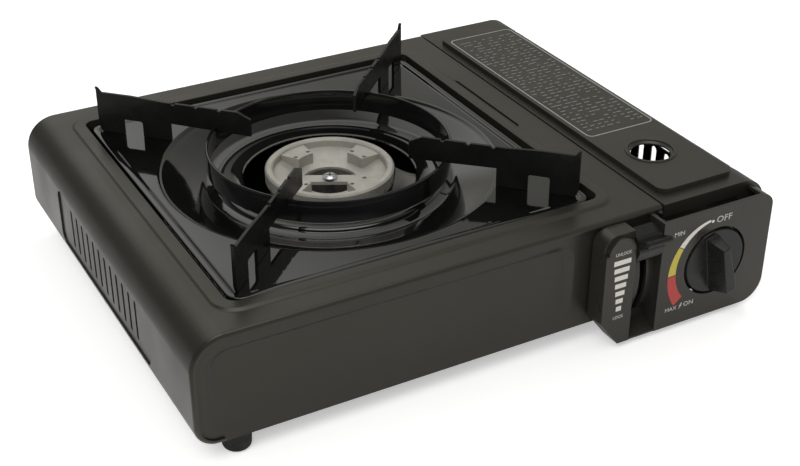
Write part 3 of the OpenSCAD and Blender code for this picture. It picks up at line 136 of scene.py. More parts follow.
def remap(tree, value, start, end, low=0.0, high=1.0, style="LINEAR"):
    """Turns a value that runs from start to end into one that runs from low to high."""
    node = add_node(
        tree, "ShaderNodeMapRange",
        {"Value": value, "From Min": start, "From Max": end, "To Min": low, "To Max": high},
        interpolation_type=style)
    return node.outputs["Result"]


def blend(tree, factor, a, b):
    """Mixes two colours."""
    node = add_node(tree, "ShaderNodeMix", {"Factor": factor, "A": a, "B": b}, data_type="RGBA")
    return node.outputs["Result"]


print("node helpers:", [f.__name__ for f in (add_node, maths, remap, blend)])

# %% [markdown]
# ## A white studio
# Black satin paint and black enamel are mostly seen by what they reflect. A plain white room, with
# a bright backdrop for the eye and a calmer fill for matt surfaces, draws the long soft gradients
# on the sheet metal. The world node tree asks the Light Path which kind of ray it is, so the
# picture's background is white without pouring more light on the stove. What the paint mirrors is
# a darker room: dim at the horizon and to the left, with one soft window high up behind, which
# makes the wet-looking patches in the enamel, and one bright panel overhead, which draws the thin
# lines of light along every rolled edge.

# %% World
WHITE = (1, 1, 1, 1)
FILL_COLOR, FILL_LEVEL = (1.0, 0.99, 0.97, 1), 0.55
SKY_BELOW, SKY_TOP = (0.22, 0.215, 0.20, 1), (0.20, 0.195, 0.18, 1)
SKY_BANDS = ((0.10, 0.40), (0.22, 0.52), (0.60, 0.40))
WINDOW_AT = Vector((0.02, 0.76, 0.65)).normalized()
WINDOW_LIGHT, PANEL_LIGHT = 0.75, 2.6

world = bpy.data.worlds.new("white_room")
bpy.context.scene.world = world
world.use_nodes = True
room = world.node_tree
room.nodes.clear()
rays = add_node(room, "ShaderNodeLightPath").outputs
direction = add_node(room, "ShaderNodeTexCoord").outputs["Generated"]
toward = add_node(room, "ShaderNodeSeparateXYZ", {0: direction}).outputs
sky = add_node(room, "ShaderNodeValToRGB", {"Fac": toward["Z"]})
for position, level in SKY_BANDS:
    sky.color_ramp.elements.new(position).color = (level, level * 0.985, level * 0.90, 1)
sky.color_ramp.elements[0].color = SKY_BELOW
sky.color_ramp.elements[-1].color = SKY_TOP
left_dark = remap(room, toward["X"], -0.62, 0.25, 0.22, 1.0)
shaded_sky = add_node(room, "ShaderNodeVectorMath",
                      {0: sky.outputs["Color"], "Scale": left_dark}, operation="SCALE")
near_window = add_node(room, "ShaderNodeVectorMath",
                       {0: direction, 1: WINDOW_AT}, operation="DOT_PRODUCT").outputs["Value"]
window = remap(room, near_window, 0.90, 0.975, 0.0, WINDOW_LIGHT, "SMOOTHSTEP")
overhead = remap(room, toward["Z"], 0.90, 0.965, 0.0, PANEL_LIGHT, "SMOOTHSTEP")
mirrored_room = add_node(
    room, "ShaderNodeVectorMath",
    {0: shaded_sky.outputs["Vector"], 1: maths(room, "ADD", window, overhead)}, operation="ADD")
print("mirrored room:", len(SKY_BANDS) + 2, "bands of sky, a window and an overhead panel")

# %% Which ray sees which room
backdrop = blend(room, rays["Is Camera Ray"], mirrored_room.outputs["Vector"], WHITE)
fill = add_node(room, "ShaderNodeBackground", {"Color": FILL_COLOR, "Strength": FILL_LEVEL})
seen = add_node(room, "ShaderNodeBackground", {"Color": backdrop, "Strength": 1.0})
eye_or_mirror = maths(room, "MAXIMUM", rays["Is Camera Ray"], rays["Is Glossy Ray"])
any_seen = maths(room, "MAXIMUM", eye_or_mirror, rays["Is Transmission Ray"])
pick = add_node(room, "ShaderNodeMixShader",
                {"Fac": any_seen, 1: fill.outputs[0], 2: seen.outputs[0]})
add_node(room, "ShaderNodeOutputWorld", {"Surface": pick.outputs[0]})
print("world nodes:", len(room.nodes))

# %% [markdown]
# ## Softboxes
# Two large area lamps stand in for a photographer's softboxes: one above and in front on the left,
# which lifts the top and the front, and a weaker one behind on the right, which keeps the far edges
# from sinking into black. They light the matt skins only: what the shiny ones mirror is the room.

# %% Lamps


def softbox(name, place, aim, size, power):
    lamp = bpy.data.lights.new(name, "AREA")
    lamp.shape = "RECTANGLE"
    lamp.size, lamp.size_y = size
    lamp.energy = power
    holder = put_in_scene(name, lamp)
    holder.location = place
    holder.visible_glossy = False
    holder.rotation_euler = (Vector(aim) - Vector(place)).to_track_quat("-Z", "Y").to_euler()


softbox("softbox_left", (-1.1, -1.0, 1.7), (0, 0, 0.05), (1.2, 1.2), 22)
softbox("softbox_right", (1.3, 1.0, 1.5), (0, 0, 0.05), (1.4, 0.8), 14)

# %% [markdown]
# ## The floor
# One pale sheet under the stove. Its own colour is white, a little of it glows for the eye, so the
# paper stays white while the stove's soft shadow still falls on it. Mirror rays see another sheet:
# it glows only to the left, and it darkens about 3 cm past the case, as a dark table would.

# %% Floor
FLOOR_HALF = 6.0
PAPER_WHITE, TABLE_DARK = (0.86, 0.86, 0.86, 1), (0.16, 0.155, 0.14, 1)
EYE_GLOW, MIRROR_GLOW = 0.42, 0.30

floor_mesh = bpy.data.meshes.new("paper_floor")
floor_mesh.from_pydata(
    [(-FLOOR_HALF, -FLOOR_HALF, 0), (FLOOR_HALF, -FLOOR_HALF, 0),
     (FLOOR_HALF, FLOOR_HALF, 0), (-FLOOR_HALF, FLOOR_HALF, 0)], [], [(0, 1, 2, 3)])
floor = put_in_scene("paper_floor", floor_mesh)
paper = bpy.data.materials.new("white_paper")
paper.use_nodes = True
print("floor:", 2 * FLOOR_HALF, "m wide")

# %% Paper for the eye and for mirrors
paper_tree = paper.node_tree
paper_tree.nodes.clear()
paper_rays = add_node(paper_tree, "ShaderNodeLightPath").outputs
paper_place = add_node(paper_tree, "ShaderNodeTexCoord").outputs["Object"]
sideways = add_node(paper_tree, "ShaderNodeSeparateXYZ", {0: paper_place}).outputs["X"]
eye_glow = maths(paper_tree, "MULTIPLY", paper_rays["Is Camera Ray"], EYE_GLOW)
left_glow = remap(paper_tree, sideways, -0.14, -0.19, 0.0, MIRROR_GLOW)
mirror_glow = maths(paper_tree, "MULTIPLY", paper_rays["Is Glossy Ray"], left_glow)
glow = add_node(paper_tree, "ShaderNodeEmission",
                {"Strength": maths(paper_tree, "MAXIMUM", eye_glow, mirror_glow)})
past_edge = remap(paper_tree, sideways, -0.198, -0.232)
mirror_dark = maths(paper_tree, "MULTIPLY", past_edge, paper_rays["Is Glossy Ray"])
matt = add_node(paper_tree, "ShaderNodeBsdfDiffuse",
                {"Color": blend(paper_tree, mirror_dark, PAPER_WHITE, TABLE_DARK)})
paper_sum = add_node(paper_tree, "ShaderNodeAddShader", {0: matt.outputs[0], 1: glow.outputs[0]})
add_node(paper_tree, "ShaderNodeOutputMaterial", {"Surface": paper_sum.outputs[0]})
floor_mesh.materials.append(paper)
print("paper nodes:", len(paper_tree.nodes))

# %% [markdown]
# ## How a finish is built
# Every finish below starts from one Principled shader and gets three things that a flat colour
# lacks: a slow drift of colour, a change of gloss from place to place, and a fine relief. All three
# read Object coordinates, which are metres on the stove itself, so a grain of half a millimetre is
# half a millimetre on every piece. The `Finish` class keeps those node recipes in one place.

# %% Finish recipes


class Finish:
    """A Principled material with helpers for drift of colour, change of gloss, and relief."""

    def __init__(self, name, color, roughness, metallic=0.0):
        self.mat = bpy.data.materials.new(name)
        self.mat.use_nodes = True
        self.mat.diffuse_color = (*color, 1)
        self.tree = self.mat.node_tree
        self.shader = self.tree.nodes["Principled BSDF"]
        self.color = color
        self.relief_end = None
        self.place = add_node(self.tree, "ShaderNodeTexCoord").outputs["Object"]
        self.give("Base Color", (*color, 1))
        self.give("Roughness", roughness)
        self.give("Metallic", metallic)

    def give(self, label, value):
        """Feeds one input of the shader."""
        feed(self.tree, self.shader.inputs[label], value)
        return self

    def noise(self, grain, detail=3.0, stretch=(1, 1, 1)):
        """Noise whose blobs are about `grain` metres across, stretched along an axis if asked."""
        mapping = add_node(self.tree, "ShaderNodeMapping",
                           {"Vector": self.place, "Scale": stretch})
        texture = add_node(
            self.tree, "ShaderNodeTexNoise",
            {"Vector": mapping.outputs[0], "Scale": 1.0 / grain, "Detail": detail})
        return texture.outputs["Fac"]

    def drift(self, grain, other, start=0.35, end=0.7, detail=3.0, stretch=(1, 1, 1)):
        """Lets the base colour wander towards another one."""
        amount = remap(self.tree, self.noise(grain, detail, stretch), start, end)
        return self.give("Base Color",
                         blend(self.tree, amount, (*self.color, 1), (*other, 1)))

    def gloss(self, grain, low, high, detail=2.0, stretch=(1, 1, 1)):
        """Lets the roughness wander between two values."""
        return self.give("Roughness", remap(
            self.tree, self.noise(grain, detail, stretch), 0.3, 0.7, low, high))

    def relief(self, grain, depth, strength=1.0, detail=2.0, stretch=(1, 1, 1)):
        """Adds a bump of a given depth in metres on top of the bumps already there."""
        bump = add_node(self.tree, "ShaderNodeBump", {
            "Strength": strength, "Distance": depth,
            "Height": self.noise(grain, detail, stretch)})
        if self.relief_end is not None:
            feed(self.tree, bump.inputs["Normal"], self.relief_end)
        self.relief_end = bump.outputs["Normal"]
        return self.give("Normal", self.relief_end)


print("finish recipes:", [recipe for recipe in vars(Finish) if not recipe.startswith("_")])


# %% [markdown]
# ## The paints
# The case is steel with a satin black powder coat: a warm near-black, a soft sheen and the faint
# orange peel that powder leaves. The lid is sprayed a touch greyer. The tray and the pan support
# are glass enamel: deep black, almost mirror bright, and gently wavy because molten glass pulls
# itself into shallow swells before it sets.

# %% Powder coat and enamel
body_paint = (
    Finish("satin_powder_coat", (0.0155, 0.015, 0.012), 0.36)
    .drift(0.09, (0.019, 0.018, 0.0145))
    .gloss(0.035, 0.31, 0.40)
    .relief(0.0011, 0.00003, 0.35)
    .relief(0.03, 0.0003, 0.12)
    .give("Specular Tint", (1.0, 0.96, 0.84, 1))
)
lid_paint = (
    Finish("satin_powder_coat_lid", (0.017, 0.0165, 0.0135), 0.40)
    .drift(0.07, (0.021, 0.020, 0.0165))
    .gloss(0.03, 0.36, 0.45)
    .relief(0.0009, 0.00003, 0.4)
    .give("Specular Tint", (1.0, 0.97, 0.87, 1))
)
enamel = (
    Finish("black_glass_enamel", (0.0035, 0.0035, 0.0035), 0.05)
    .drift(0.05, (0.006, 0.006, 0.0055))
    .gloss(0.02, 0.035, 0.075)
    .relief(0.028, 0.0007, 0.22, 1.0)
    .relief(0.0022, 0.00003, 0.25)
    .give("IOR", 1.52)
    .give("Coat Weight", 0.25)
    .give("Coat Roughness", 0.03)
)
ring_enamel = (
    Finish("black_glass_enamel_ring", (0.006, 0.006, 0.006), 0.08)
    .drift(0.03, (0.010, 0.0098, 0.010))
    .gloss(0.015, 0.05, 0.12)
    .relief(0.014, 0.0005, 0.25, 1.0)
    .relief(0.002, 0.00003, 0.25)
)
arm_enamel = (
    Finish("black_glass_enamel_arms", (0.005, 0.005, 0.005), 0.06)
    .drift(0.03, (0.009, 0.009, 0.0085))
    .gloss(0.012, 0.22, 0.34)
    .relief(0.010, 0.0007, 0.35, 1.0)
    .relief(0.002, 0.00003, 0.3)
    .give("Specular IOR Level", 0.3)
)
print("paints:", body_paint.mat.name, lid_paint.mat.name, enamel.mat.name)

# %% [markdown]
# ## The metals
# Cast aluminium comes out of its mould with a sandy skin and is never quite one tone. Zinc plating
# shows faint brushed streaks, brass and copper keep the marks of the lathe and the drawing die.
# Each is the same recipe with its own grain, stretched along one axis where a tool has run.

# %% Cast alloy, zinc, brass and copper
cast_alloy = (
    Finish("cast_aluminium", (0.44, 0.425, 0.38), 0.50, 0.45)
    .drift(0.012, (0.35, 0.337, 0.30), 0.4, 0.75, 5.0)
    .gloss(0.006, 0.44, 0.62)
    .relief(0.0007, 0.00008, 0.6, 4.0)
    .relief(0.006, 0.0002, 0.2)
)
# A much darker copy of the cast alloy, for the burner body, the mixing tube and the throat flare,
# which sit low under the cap: painted shade.
painted_shade_alloy = (
    Finish("cast_aluminium_painted_shade", (0.10, 0.095, 0.085), 0.55, 0.35)
    .drift(0.009, (0.15, 0.14, 0.125), 0.4, 0.75, 5.0)
    .gloss(0.006, 0.48, 0.66)
    .relief(0.0007, 0.00008, 0.6, 4.0)
)
zinc = (
    Finish("zinc_plated_steel", (0.52, 0.53, 0.55), 0.34, 1.0)
    .drift(0.01, (0.42, 0.43, 0.45), 0.4, 0.7, 4.0)
    .gloss(0.004, 0.28, 0.42, 3.0, (1, 6, 1))
    .relief(0.0005, 0.00002, 0.4, 3.0, (1, 10, 1))
)
lever_steel = (
    Finish("stamped_lever_steel", (0.46, 0.46, 0.46), 0.36, 1.0)
    .drift(0.008, (0.36, 0.36, 0.36), 0.4, 0.7, 4.0)
    .gloss(0.003, 0.30, 0.45, 3.0, (1, 1, 5))
    .relief(0.0006, 0.00002, 0.4, 3.0, (1, 1, 8))
)
brass = (
    Finish("turned_brass", (0.62, 0.46, 0.20), 0.30, 1.0)
    .drift(0.006, (0.50, 0.36, 0.15), 0.4, 0.7, 4.0)
    .gloss(0.002, 0.24, 0.40, 3.0, (1, 8, 1))
    .relief(0.0004, 0.00002, 0.5, 2.0, (1, 12, 1))
)
governor_alloy = (
    Finish("die_cast_governor", (0.55, 0.55, 0.54), 0.42, 0.9)
    .drift(0.006, (0.45, 0.45, 0.44), 0.4, 0.7, 4.0)
    .gloss(0.003, 0.36, 0.5)
    .relief(0.0006, 0.00005, 0.5, 4.0)
)
copper = (
    Finish("drawn_copper", (0.66, 0.33, 0.20), 0.30, 1.0)
    .drift(0.008, (0.48, 0.24, 0.15), 0.45, 0.75, 4.0)
    .gloss(0.004, 0.22, 0.42)
    .relief(0.0008, 0.00002, 0.4, 3.0)
)
metals = (cast_alloy, painted_shade_alloy, zinc, lever_steel, brass, governor_alloy, copper)
print("metals:", [metal.mat.name for metal in metals])

# %% [markdown]
# ## Plastics, rubber, ceramic and ink
# The control panel is moulded with a fine satin texture, the grips with a smoother face. Rubber is
# dull and a little dusty. Ink is modelled as a thin raised film, because pad printing on a moulding
# really is one: it catches the light at its edge and hides the texture under it. The large marks
# are in full white, the words and the lid's print in dimmer inks, as small print looks.

# %% Mouldings and inks
panel_plastic = (
    Finish("moulded_panel", (0.019, 0.0185, 0.0155), 0.30)
    .drift(0.05, (0.023, 0.022, 0.0185))
    .gloss(0.012, 0.26, 0.34)
    .relief(0.0005, 0.00002, 0.35, 3.0)
    .give("Specular Tint", (1.0, 0.97, 0.86, 1))
)
grip_plastic = (
    Finish("moulded_grip", (0.008, 0.008, 0.0078), 0.26)
    .drift(0.02, (0.011, 0.011, 0.0105))
    .gloss(0.008, 0.22, 0.32)
    .relief(0.0005, 0.00002, 0.3, 3.0)
    .give("Specular IOR Level", 0.36)
)
rubber = (
    Finish("foot_rubber", (0.007, 0.007, 0.007), 0.72)
    .drift(0.004, (0.016, 0.0155, 0.014), 0.5, 0.8, 5.0)
    .gloss(0.003, 0.62, 0.8)
    .relief(0.0006, 0.00006, 0.5, 4.0)
)
seal_rubber = (
    Finish("seal_rubber", (0.010, 0.010, 0.010), 0.55)
    .drift(0.003, (0.018, 0.018, 0.018), 0.5, 0.8)
    .gloss(0.002, 0.48, 0.62)
    .relief(0.0004, 0.00003, 0.4)
)
ceramic = (
    Finish("glazed_ceramic", (0.80, 0.78, 0.72), 0.22)
    .drift(0.004, (0.72, 0.70, 0.63), 0.5, 0.8)
    .gloss(0.003, 0.18, 0.28)
    .relief(0.002, 0.00003, 0.3)
)
silicone = (
    Finish("lead_silicone", (0.60, 0.58, 0.53), 0.48)
    .drift(0.01, (0.50, 0.48, 0.43), 0.45, 0.8)
    .gloss(0.004, 0.42, 0.56)
    .relief(0.0008, 0.00003, 0.3)
)
igniter_case = (
    Finish("igniter_case", (0.020, 0.020, 0.021), 0.40)
    .drift(0.004, (0.030, 0.030, 0.030))
    .gloss(0.002, 0.34, 0.48)
    .relief(0.0005, 0.00003, 0.4)
)


def ink(name, color, other):
    return (
        Finish(name, color, 0.45)
        .drift(0.0012, other, 0.45, 0.8, 4.0)
        .gloss(0.001, 0.40, 0.52)
        .relief(0.0004, 0.00001, 0.4)
    )


white_ink = ink("white_ink", (0.68, 0.66, 0.61), (0.60, 0.58, 0.53))
yellow_ink = ink("yellow_ink", (0.55, 0.47, 0.07), (0.48, 0.40, 0.06))
red_ink = ink("red_ink", (0.46, 0.05, 0.045), (0.38, 0.04, 0.036))
grey_ink = ink("grey_ink", (0.30, 0.30, 0.28), (0.24, 0.24, 0.22))
word_ink = ink("word_ink", (0.46, 0.45, 0.42), (0.40, 0.39, 0.36))
print_ink = ink("print_ink", (0.17, 0.17, 0.16), (0.12, 0.12, 0.11))
print("materials so far:", len(bpy.data.materials))

# %% [markdown]
# ## Softening a CAD solid
# A CAD node is a shell of loose triangles with knife edges. Pressed sheet and moulded plastic have
# neither: every edge has a small radius that draws a thin line of light. `soften` works on a copy:
# it merges the doubled corners, dissolves the flat triangulation, rounds the sharp edges with a
# Bevel modifier, lets the large flat faces decide the shading with a Weighted Normal modifier, and
# bakes the result to a plain mesh that stands in for the node.

# %% Soft-edged stand-ins for CAD nodes
MERGE = 0.000004
FLAT = math.radians(0.6)
SHARP = math.radians(35)
FACE_WEIGHT = 90


def add_piece(name, mesh, body, finish):
    piece = put_in_scene(name, mesh)
    if not mesh.materials:
        mesh.materials.append(finish.mat)
    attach(piece, body)
    return piece


def plain_mesh(holder, name):
    """Bakes an object's modifiers into a mesh and removes the holder."""
    graph = bpy.context.evaluated_depsgraph_get()
    mesh = bpy.data.meshes.new_from_object(
        holder.evaluated_get(graph), preserve_all_data_layers=True, depsgraph=graph)
    mesh.name = name
    bpy.data.objects.remove(holder)
    return mesh


def shade(mesh, crease=32):
    mesh.shade_smooth()
    mesh.set_sharp_from_angle(angle=math.radians(crease))


def face_outwards(work, mesh):
    """Turns a work copy's faces outwards and writes it to its mesh."""
    bmesh.ops.recalc_face_normals(work, faces=work.faces)
    work.to_mesh(mesh)
    work.free()
    return mesh


def soften(node, width, steps, body, finish):
    name = node + "_soft"
    work = bmesh.new()
    work.from_mesh(nodes[node].data)
    bmesh.ops.remove_doubles(work, verts=work.verts, dist=MERGE)
    bmesh.ops.dissolve_limit(work, angle_limit=FLAT, verts=work.verts, edges=work.edges)
    copy = face_outwards(work, bpy.data.meshes.new(name))
    shade(copy)
    holder = put_in_scene(name, copy)
    bevel = holder.modifiers.new("edge", "BEVEL")
    bevel.width = width * MM
    bevel.segments = steps
    bevel.limit_method = "ANGLE"
    bevel.angle_limit = SHARP
    bevel.use_clamp_overlap = True
    bevel.miter_outer = "MITER_ARC"
    even = holder.modifiers.new("even_shading", "WEIGHTED_NORMAL")
    even.keep_sharp = True
    even.weight = FACE_WEIGHT
    mesh = plain_mesh(holder, name)
    piece = add_piece(name, mesh, body, finish)
    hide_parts(node)
    print(node, "->", len(mesh.polygons), "faces")
    return piece


print("corners within", round(MERGE / MM, 4), "mm are merged")

# %% [markdown]
# ## The case
# The bent shell, the two pressed end plates and the lid are what the eye meets first. Their edges
# are bends in 0.8 mm sheet, so the rounding is a few tenths of a millimetre. The lid's long edge is
# drawn in a little, as thin sheet is where it is folded down, and leaves a dark seam.

# %% Sheet metal
SEAM, SEAM_STRIP = 0.45, 0.6

for sheet_part in ("body_shell", "front_plate", "back_plate"):
    soften(sheet_part, 0.35, 2, "stove", body_paint)
lid = soften("cartridge_lid", 0.5, 3, "lid", lid_paint)

lid_left = min(point.co.x for point in lid.data.vertices)
for point in lid.data.vertices:
    if point.co.x < lid_left + SEAM_STRIP * MM:
        point.co.x += SEAM * MM
print("lid's long seam opened by", SEAM, "mm at", round(lid_left, 4))

# %% [markdown]
# ## Controls
# The moulded panel has fuller edges than the sheet, and the lever's block the fullest, because
# fingers push on it. The knob's disc is drawn in at its front, so that its side slopes back into a
# dark shadow gap all round, as a moulded disc's draft angle makes it do.

# %% Panel, knob and lever block
soften("control_panel", 0.7, 3, "stove", panel_plastic)
knob = soften("control_knob", 0.5, 3, "knob", grip_plastic)
soften("lever_knob", 1.1, 3, "lever", grip_plastic)

KNOB_AXIS = spot(301.2, 0, 38.9)
DISC_FRONT = spot(0, -13.4, 0).y
DISC_R, DISC_RIM, DISC_TAPER, DISC_LAYER = 20.5, 19.5, 1.1, 0.7
for point in knob.data.vertices:
    out = Vector((point.co.x - KNOB_AXIS.x, 0, point.co.z - KNOB_AXIS.z))
    if abs(point.co.y - DISC_FRONT) < DISC_LAYER * MM and out.length > DISC_RIM * MM:
        point.co -= out.normalized() * DISC_TAPER * MM
print("knob disc tapers to", round(DISC_R - DISC_TAPER, 1), "mm at its front")

# %% [markdown]
# ## Burner and pan support
# The burner is a casting, so its edges are slightly rounded all over. The arms of the pan support
# are blanked from sheet and dipped in enamel, which rounds them and leaves a bright line on top.

# %% Burner and support arms
soften("burner_cap", 0.3, 2, "stove", cast_alloy)
# The burner body takes the darker alloy copy: painted shade under the cap.
soften("burner_body", 0.3, 2, "stove", painted_shade_alloy)
for arm in range(1, 5):
    soften(f"support_arm_{arm}", 0.5, 3, "pan_support", arm_enamel)

# %% [markdown]
# ## Shapes made of rings
# Rolled and drawn sheet is easiest to describe by its cross-section. `skin` takes that section as a
# row of rings, each with the same number of points, and stretches faces from one ring to the next.
# The row either closes on itself, as a hollow rim does, or ends in two caps.

# %% Skinning rings


def skin(name, rings, closed=True, crease=None):
    count = len(rings[0])
    faces = []
    for r in range(len(rings) if closed else len(rings) - 1):
        a, b = r * count, (r + 1) % len(rings) * count
        for i in range(count):
            j = (i + 1) % count
            faces.append((a + i, a + j, b + j, b + i))
    if not closed:
        last = (len(rings) - 1) * count
        faces += [tuple(range(count)), tuple(range(last, last + count))]
    mesh = bpy.data.meshes.new(name)
    mesh.from_pydata([point for ring_points in rings for point in ring_points], [], faces)
    work = bmesh.new()
    work.from_mesh(mesh)
    face_outwards(work, mesh)
    if crease is not None:
        shade(mesh, crease)
    return mesh


cube = skin("trial_block", [[(0, 0, z), (1, 0, z), (1, 1, z), (0, 1, z)] for z in (0, 1)], False)
print("two rings of four points and two caps:", len(cube.polygons), "faces")
bpy.data.meshes.remove(cube)

# %% [markdown]
# ## The enamelled tray
# A deep-drawn tray has no sharp line anywhere: the border rolls down to the flat, the flat rolls
# into the well, and a round bead stands round the burner hole. It is lofted from closed loops, each
# either the tray's rounded square or a circle, with a second set one sheet thickness below. More
# points stand near the square's corners, where it turns.

# %% Tray outline
BURNER = spot(137.95, 132.7, 0)
TRAY_HALF = (105.65, 107.8)
TRAY_CORNER, CORNER_LOSS = 8.0, 4.5
SHEET = 0.8
EVEN_HEADINGS, CORNER_HEADINGS, CORNER_STEP = 192, 12, 0.45


def square_reach(angle, inset):
    """How far the tray's rounded square reaches in one direction, in millimetres."""
    a, b = TRAY_HALF[0] - inset, TRAY_HALF[1] - inset
    r = TRAY_CORNER - min(inset, CORNER_LOSS)
    c, s = abs(math.cos(angle)), abs(math.sin(angle))
    reach = min(a / max(c, 1e-9), b / max(s, 1e-9))
    if reach * c > a - r and reach * s > b - r:
        middle = c * (a - r) + s * (b - r)
        reach = middle + math.sqrt(middle ** 2 - (a - r) ** 2 - (b - r) ** 2 + r ** 2)
    return reach


corner_angle = math.atan2(TRAY_HALF[1], TRAY_HALF[0])
headings = set()
for step_no in range(EVEN_HEADINGS):
    headings.add(round(2 * math.pi * step_no / EVEN_HEADINGS, 5))
for corner in (corner_angle, math.pi - corner_angle, math.pi + corner_angle, -corner_angle):
    for step_no in range(-CORNER_HEADINGS, CORNER_HEADINGS + 1):
        headings.add(round((corner + math.radians(CORNER_STEP * step_no)) % (2 * math.pi), 5))
headings = sorted(headings)
print("tray outline:", len(headings), "headings")

# %% Tray
border = [(0, 71.0), (0, 73.4), (0.12, 73.85), (0.42, 74.16), (0.9, 74.3), (3.5, 74.3),
          (3.95, 74.16), (4.3, 73.85), (4.6, 73.5), (5.1, 73.33), (5.8, 73.3), (6.4, 73.3)]
well = [(97.4, 73.3), (96.8, 73.28), (96.2, 73.18), (95.6, 72.92), (95.05, 72.5), (94.5, 72.1),
        (93.8, 71.85), (92.8, 71.66), (91.4, 71.35), (86, 69.75), (80, 67.95), (74, 66.15),
        (72.4, 65.62), (71.4, 65.25), (70.4, 65.06), (69.4, 65.0), (65.6, 65.0), (65.1, 65.08),
        (64.6, 65.4), (64.0, 66.0), (63.2, 66.5), (62.2, 66.78), (61.3, 66.8), (60.3, 66.66),
        (59.2, 66.25), (58.2, 65.85), (57.0, 65.6), (55.4, 65.4), (53.6, 65.2), (51.8, 65.2),
        (50.8, 65.35), (50.0, 65.65), (49.4, 65.9)]
under = [(r, z - SHEET) for r, z in reversed(well)]
fold = [(6.4, 72.5), (5.4, 72.5), (4.6, 73.0), (3.9, 73.45), (1.5, 73.5), (0.95, 73.2), (0.8, 71.0)]
loops = [("square", d, z) for d, z in border] + [("circle", r, z) for r, z in well]
loops += [("circle", r, z) for r, z in under] + [("square", d, z) for d, z in fold]
tray_rings = []
for kind, size, z in loops:
    tray_ring = []
    for angle in headings:
        reach = size if kind == "circle" else square_reach(angle, size)
        along = Vector((reach * math.cos(angle), reach * math.sin(angle), z))
        tray_ring.append(BURNER + along * MM)
    tray_rings.append(tray_ring)
tray_mesh = skin("drawn_tray", tray_rings, crease=60)
tray = add_piece("drawn_tray", tray_mesh, "tray", enamel)
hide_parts("drip_tray")
print("tray:", len(tray_mesh.polygons), "faces, size", [round(v, 4) for v in tray.dimensions])

# %% [markdown]
# ## The support ring, a shape that follows a rule
# A ring rolled from strip is a rounded section carried round a circle, with a round bead along
# its top edge. That is exactly what Geometry Nodes' Curve to Mesh does, so the ring is a small tree
# with its sizes as named inputs: change the radius, the section or the bead, and the ring follows.

# %% Geometry Nodes helpers


def new_tree(name, sizes):
    """An empty tree with one geometry output and a named number for each size."""
    tree = bpy.data.node_groups.new(name, "GeometryNodeTree")
    tree.interface.new_socket("Geometry", in_out="OUTPUT", socket_type="NodeSocketGeometry")
    for label, value in sizes.items():
        kind = "NodeSocketInt" if isinstance(value, int) else "NodeSocketFloat"
        socket = tree.interface.new_socket(label, in_out="INPUT", socket_type=kind)
        socket.default_value = value
    return tree, tree.nodes.new("NodeGroupInput").outputs


def end_tree(tree, geometry, finish):
    """Realize Instances and Set Material, as the last two steps of every tree."""
    realize = add_node(tree, "GeometryNodeRealizeInstances", {"Geometry": geometry})
    paint = add_node(tree, "GeometryNodeSetMaterial",
                     {"Geometry": realize.outputs["Geometry"], "Material": finish.mat})
    add_node(tree, "NodeGroupOutput", {"Geometry": paint.outputs["Geometry"]})


def grow(name, tree, sizes, at):
    """Evaluates a tree with the given sizes and returns a plain mesh, moved to its place."""
    holder = put_in_scene(name, bpy.data.meshes.new(name + "_seed"))
    modifier = holder.modifiers.new("tree", "NODES")
    modifier.node_group = tree
    for item in tree.interface.items_tree:
        if item.item_type == "SOCKET" and item.in_out == "INPUT" and item.name in sizes:
            modifier[item.identifier] = sizes[item.name]
    mesh = plain_mesh(holder, name)
    mesh.transform(Matrix.Translation(at))
    return mesh


print("tree helpers:", [f.__name__ for f in (new_tree, end_tree, grow)])

# %% Ring from strip
RING_MIDDLE = Vector((0, 0, 0.08025))
ring_sizes = {"Radius": 0.06855, "Wall": 0.0013, "Height": 0.0135, "Rounding": 0.0006,
              "Bead": 0.00095}
ring_tree, ring_size = new_tree("rolled_ring", ring_sizes)
loop = add_node(ring_tree, "GeometryNodeCurvePrimitiveCircle",
                {"Resolution": 160, "Radius": ring_size["Radius"]}).outputs["Curve"]
strip = add_node(ring_tree, "GeometryNodeCurvePrimitiveQuadrilateral",
                 {"Width": ring_size["Wall"], "Height": ring_size["Height"]}).outputs["Curve"]
fillet = add_node(ring_tree, "GeometryNodeFilletCurve",
                  {"Curve": strip, "Count": 3, "Radius": ring_size["Rounding"]}, mode="POLY")
sweep = add_node(ring_tree, "GeometryNodeCurveToMesh",
                 {"Curve": loop, "Profile Curve": fillet.outputs["Curve"]})
print("ring section:", ring_sizes["Wall"], "by", ring_sizes["Height"], "m")

# %% Bead and finished ring
bead = add_node(ring_tree, "GeometryNodeCurvePrimitiveCircle",
                {"Resolution": 14, "Radius": ring_size["Bead"]}).outputs["Curve"]
bead_sweep = add_node(ring_tree, "GeometryNodeCurveToMesh",
                      {"Curve": loop, "Profile Curve": bead})
half_height = maths(ring_tree, "MULTIPLY", ring_size["Height"], 0.5)
bead_shift = add_node(ring_tree, "ShaderNodeCombineXYZ",
                      {"Z": maths(ring_tree, "SUBTRACT", half_height, ring_size["Bead"])})
bead_lift = add_node(
    ring_tree, "GeometryNodeTransform",
    {"Geometry": bead_sweep.outputs["Mesh"], "Translation": bead_shift.outputs[0]})
both = ring_tree.nodes.new("GeometryNodeJoinGeometry")
ring_tree.links.new(sweep.outputs["Mesh"], both.inputs["Geometry"])
ring_tree.links.new(bead_lift.outputs["Geometry"], both.inputs["Geometry"])
end_tree(ring_tree, both.outputs["Geometry"], ring_enamel)
ring_mesh = grow("rolled_support_ring", ring_tree, ring_sizes, BURNER + RING_MIDDLE)
shade(ring_mesh)
ring = add_piece("rolled_support_ring", ring_mesh, "pan_support", ring_enamel)
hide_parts("support_ring")
print("ring:", len(ring_mesh.polygons), "faces, size", [round(v, 4) for v in ring.dimensions])

# %% [markdown]
# ## The printed marks
# The panel carries a gas scale that widens from low to high, a lock scale of seven tapering bars,
# and a few plain words. They are thin films on the moulding: the arc is a strip between two radii,
# the bars are one bar repeated by a tree with its width shrinking down the row, the words are text
# turned into mesh.

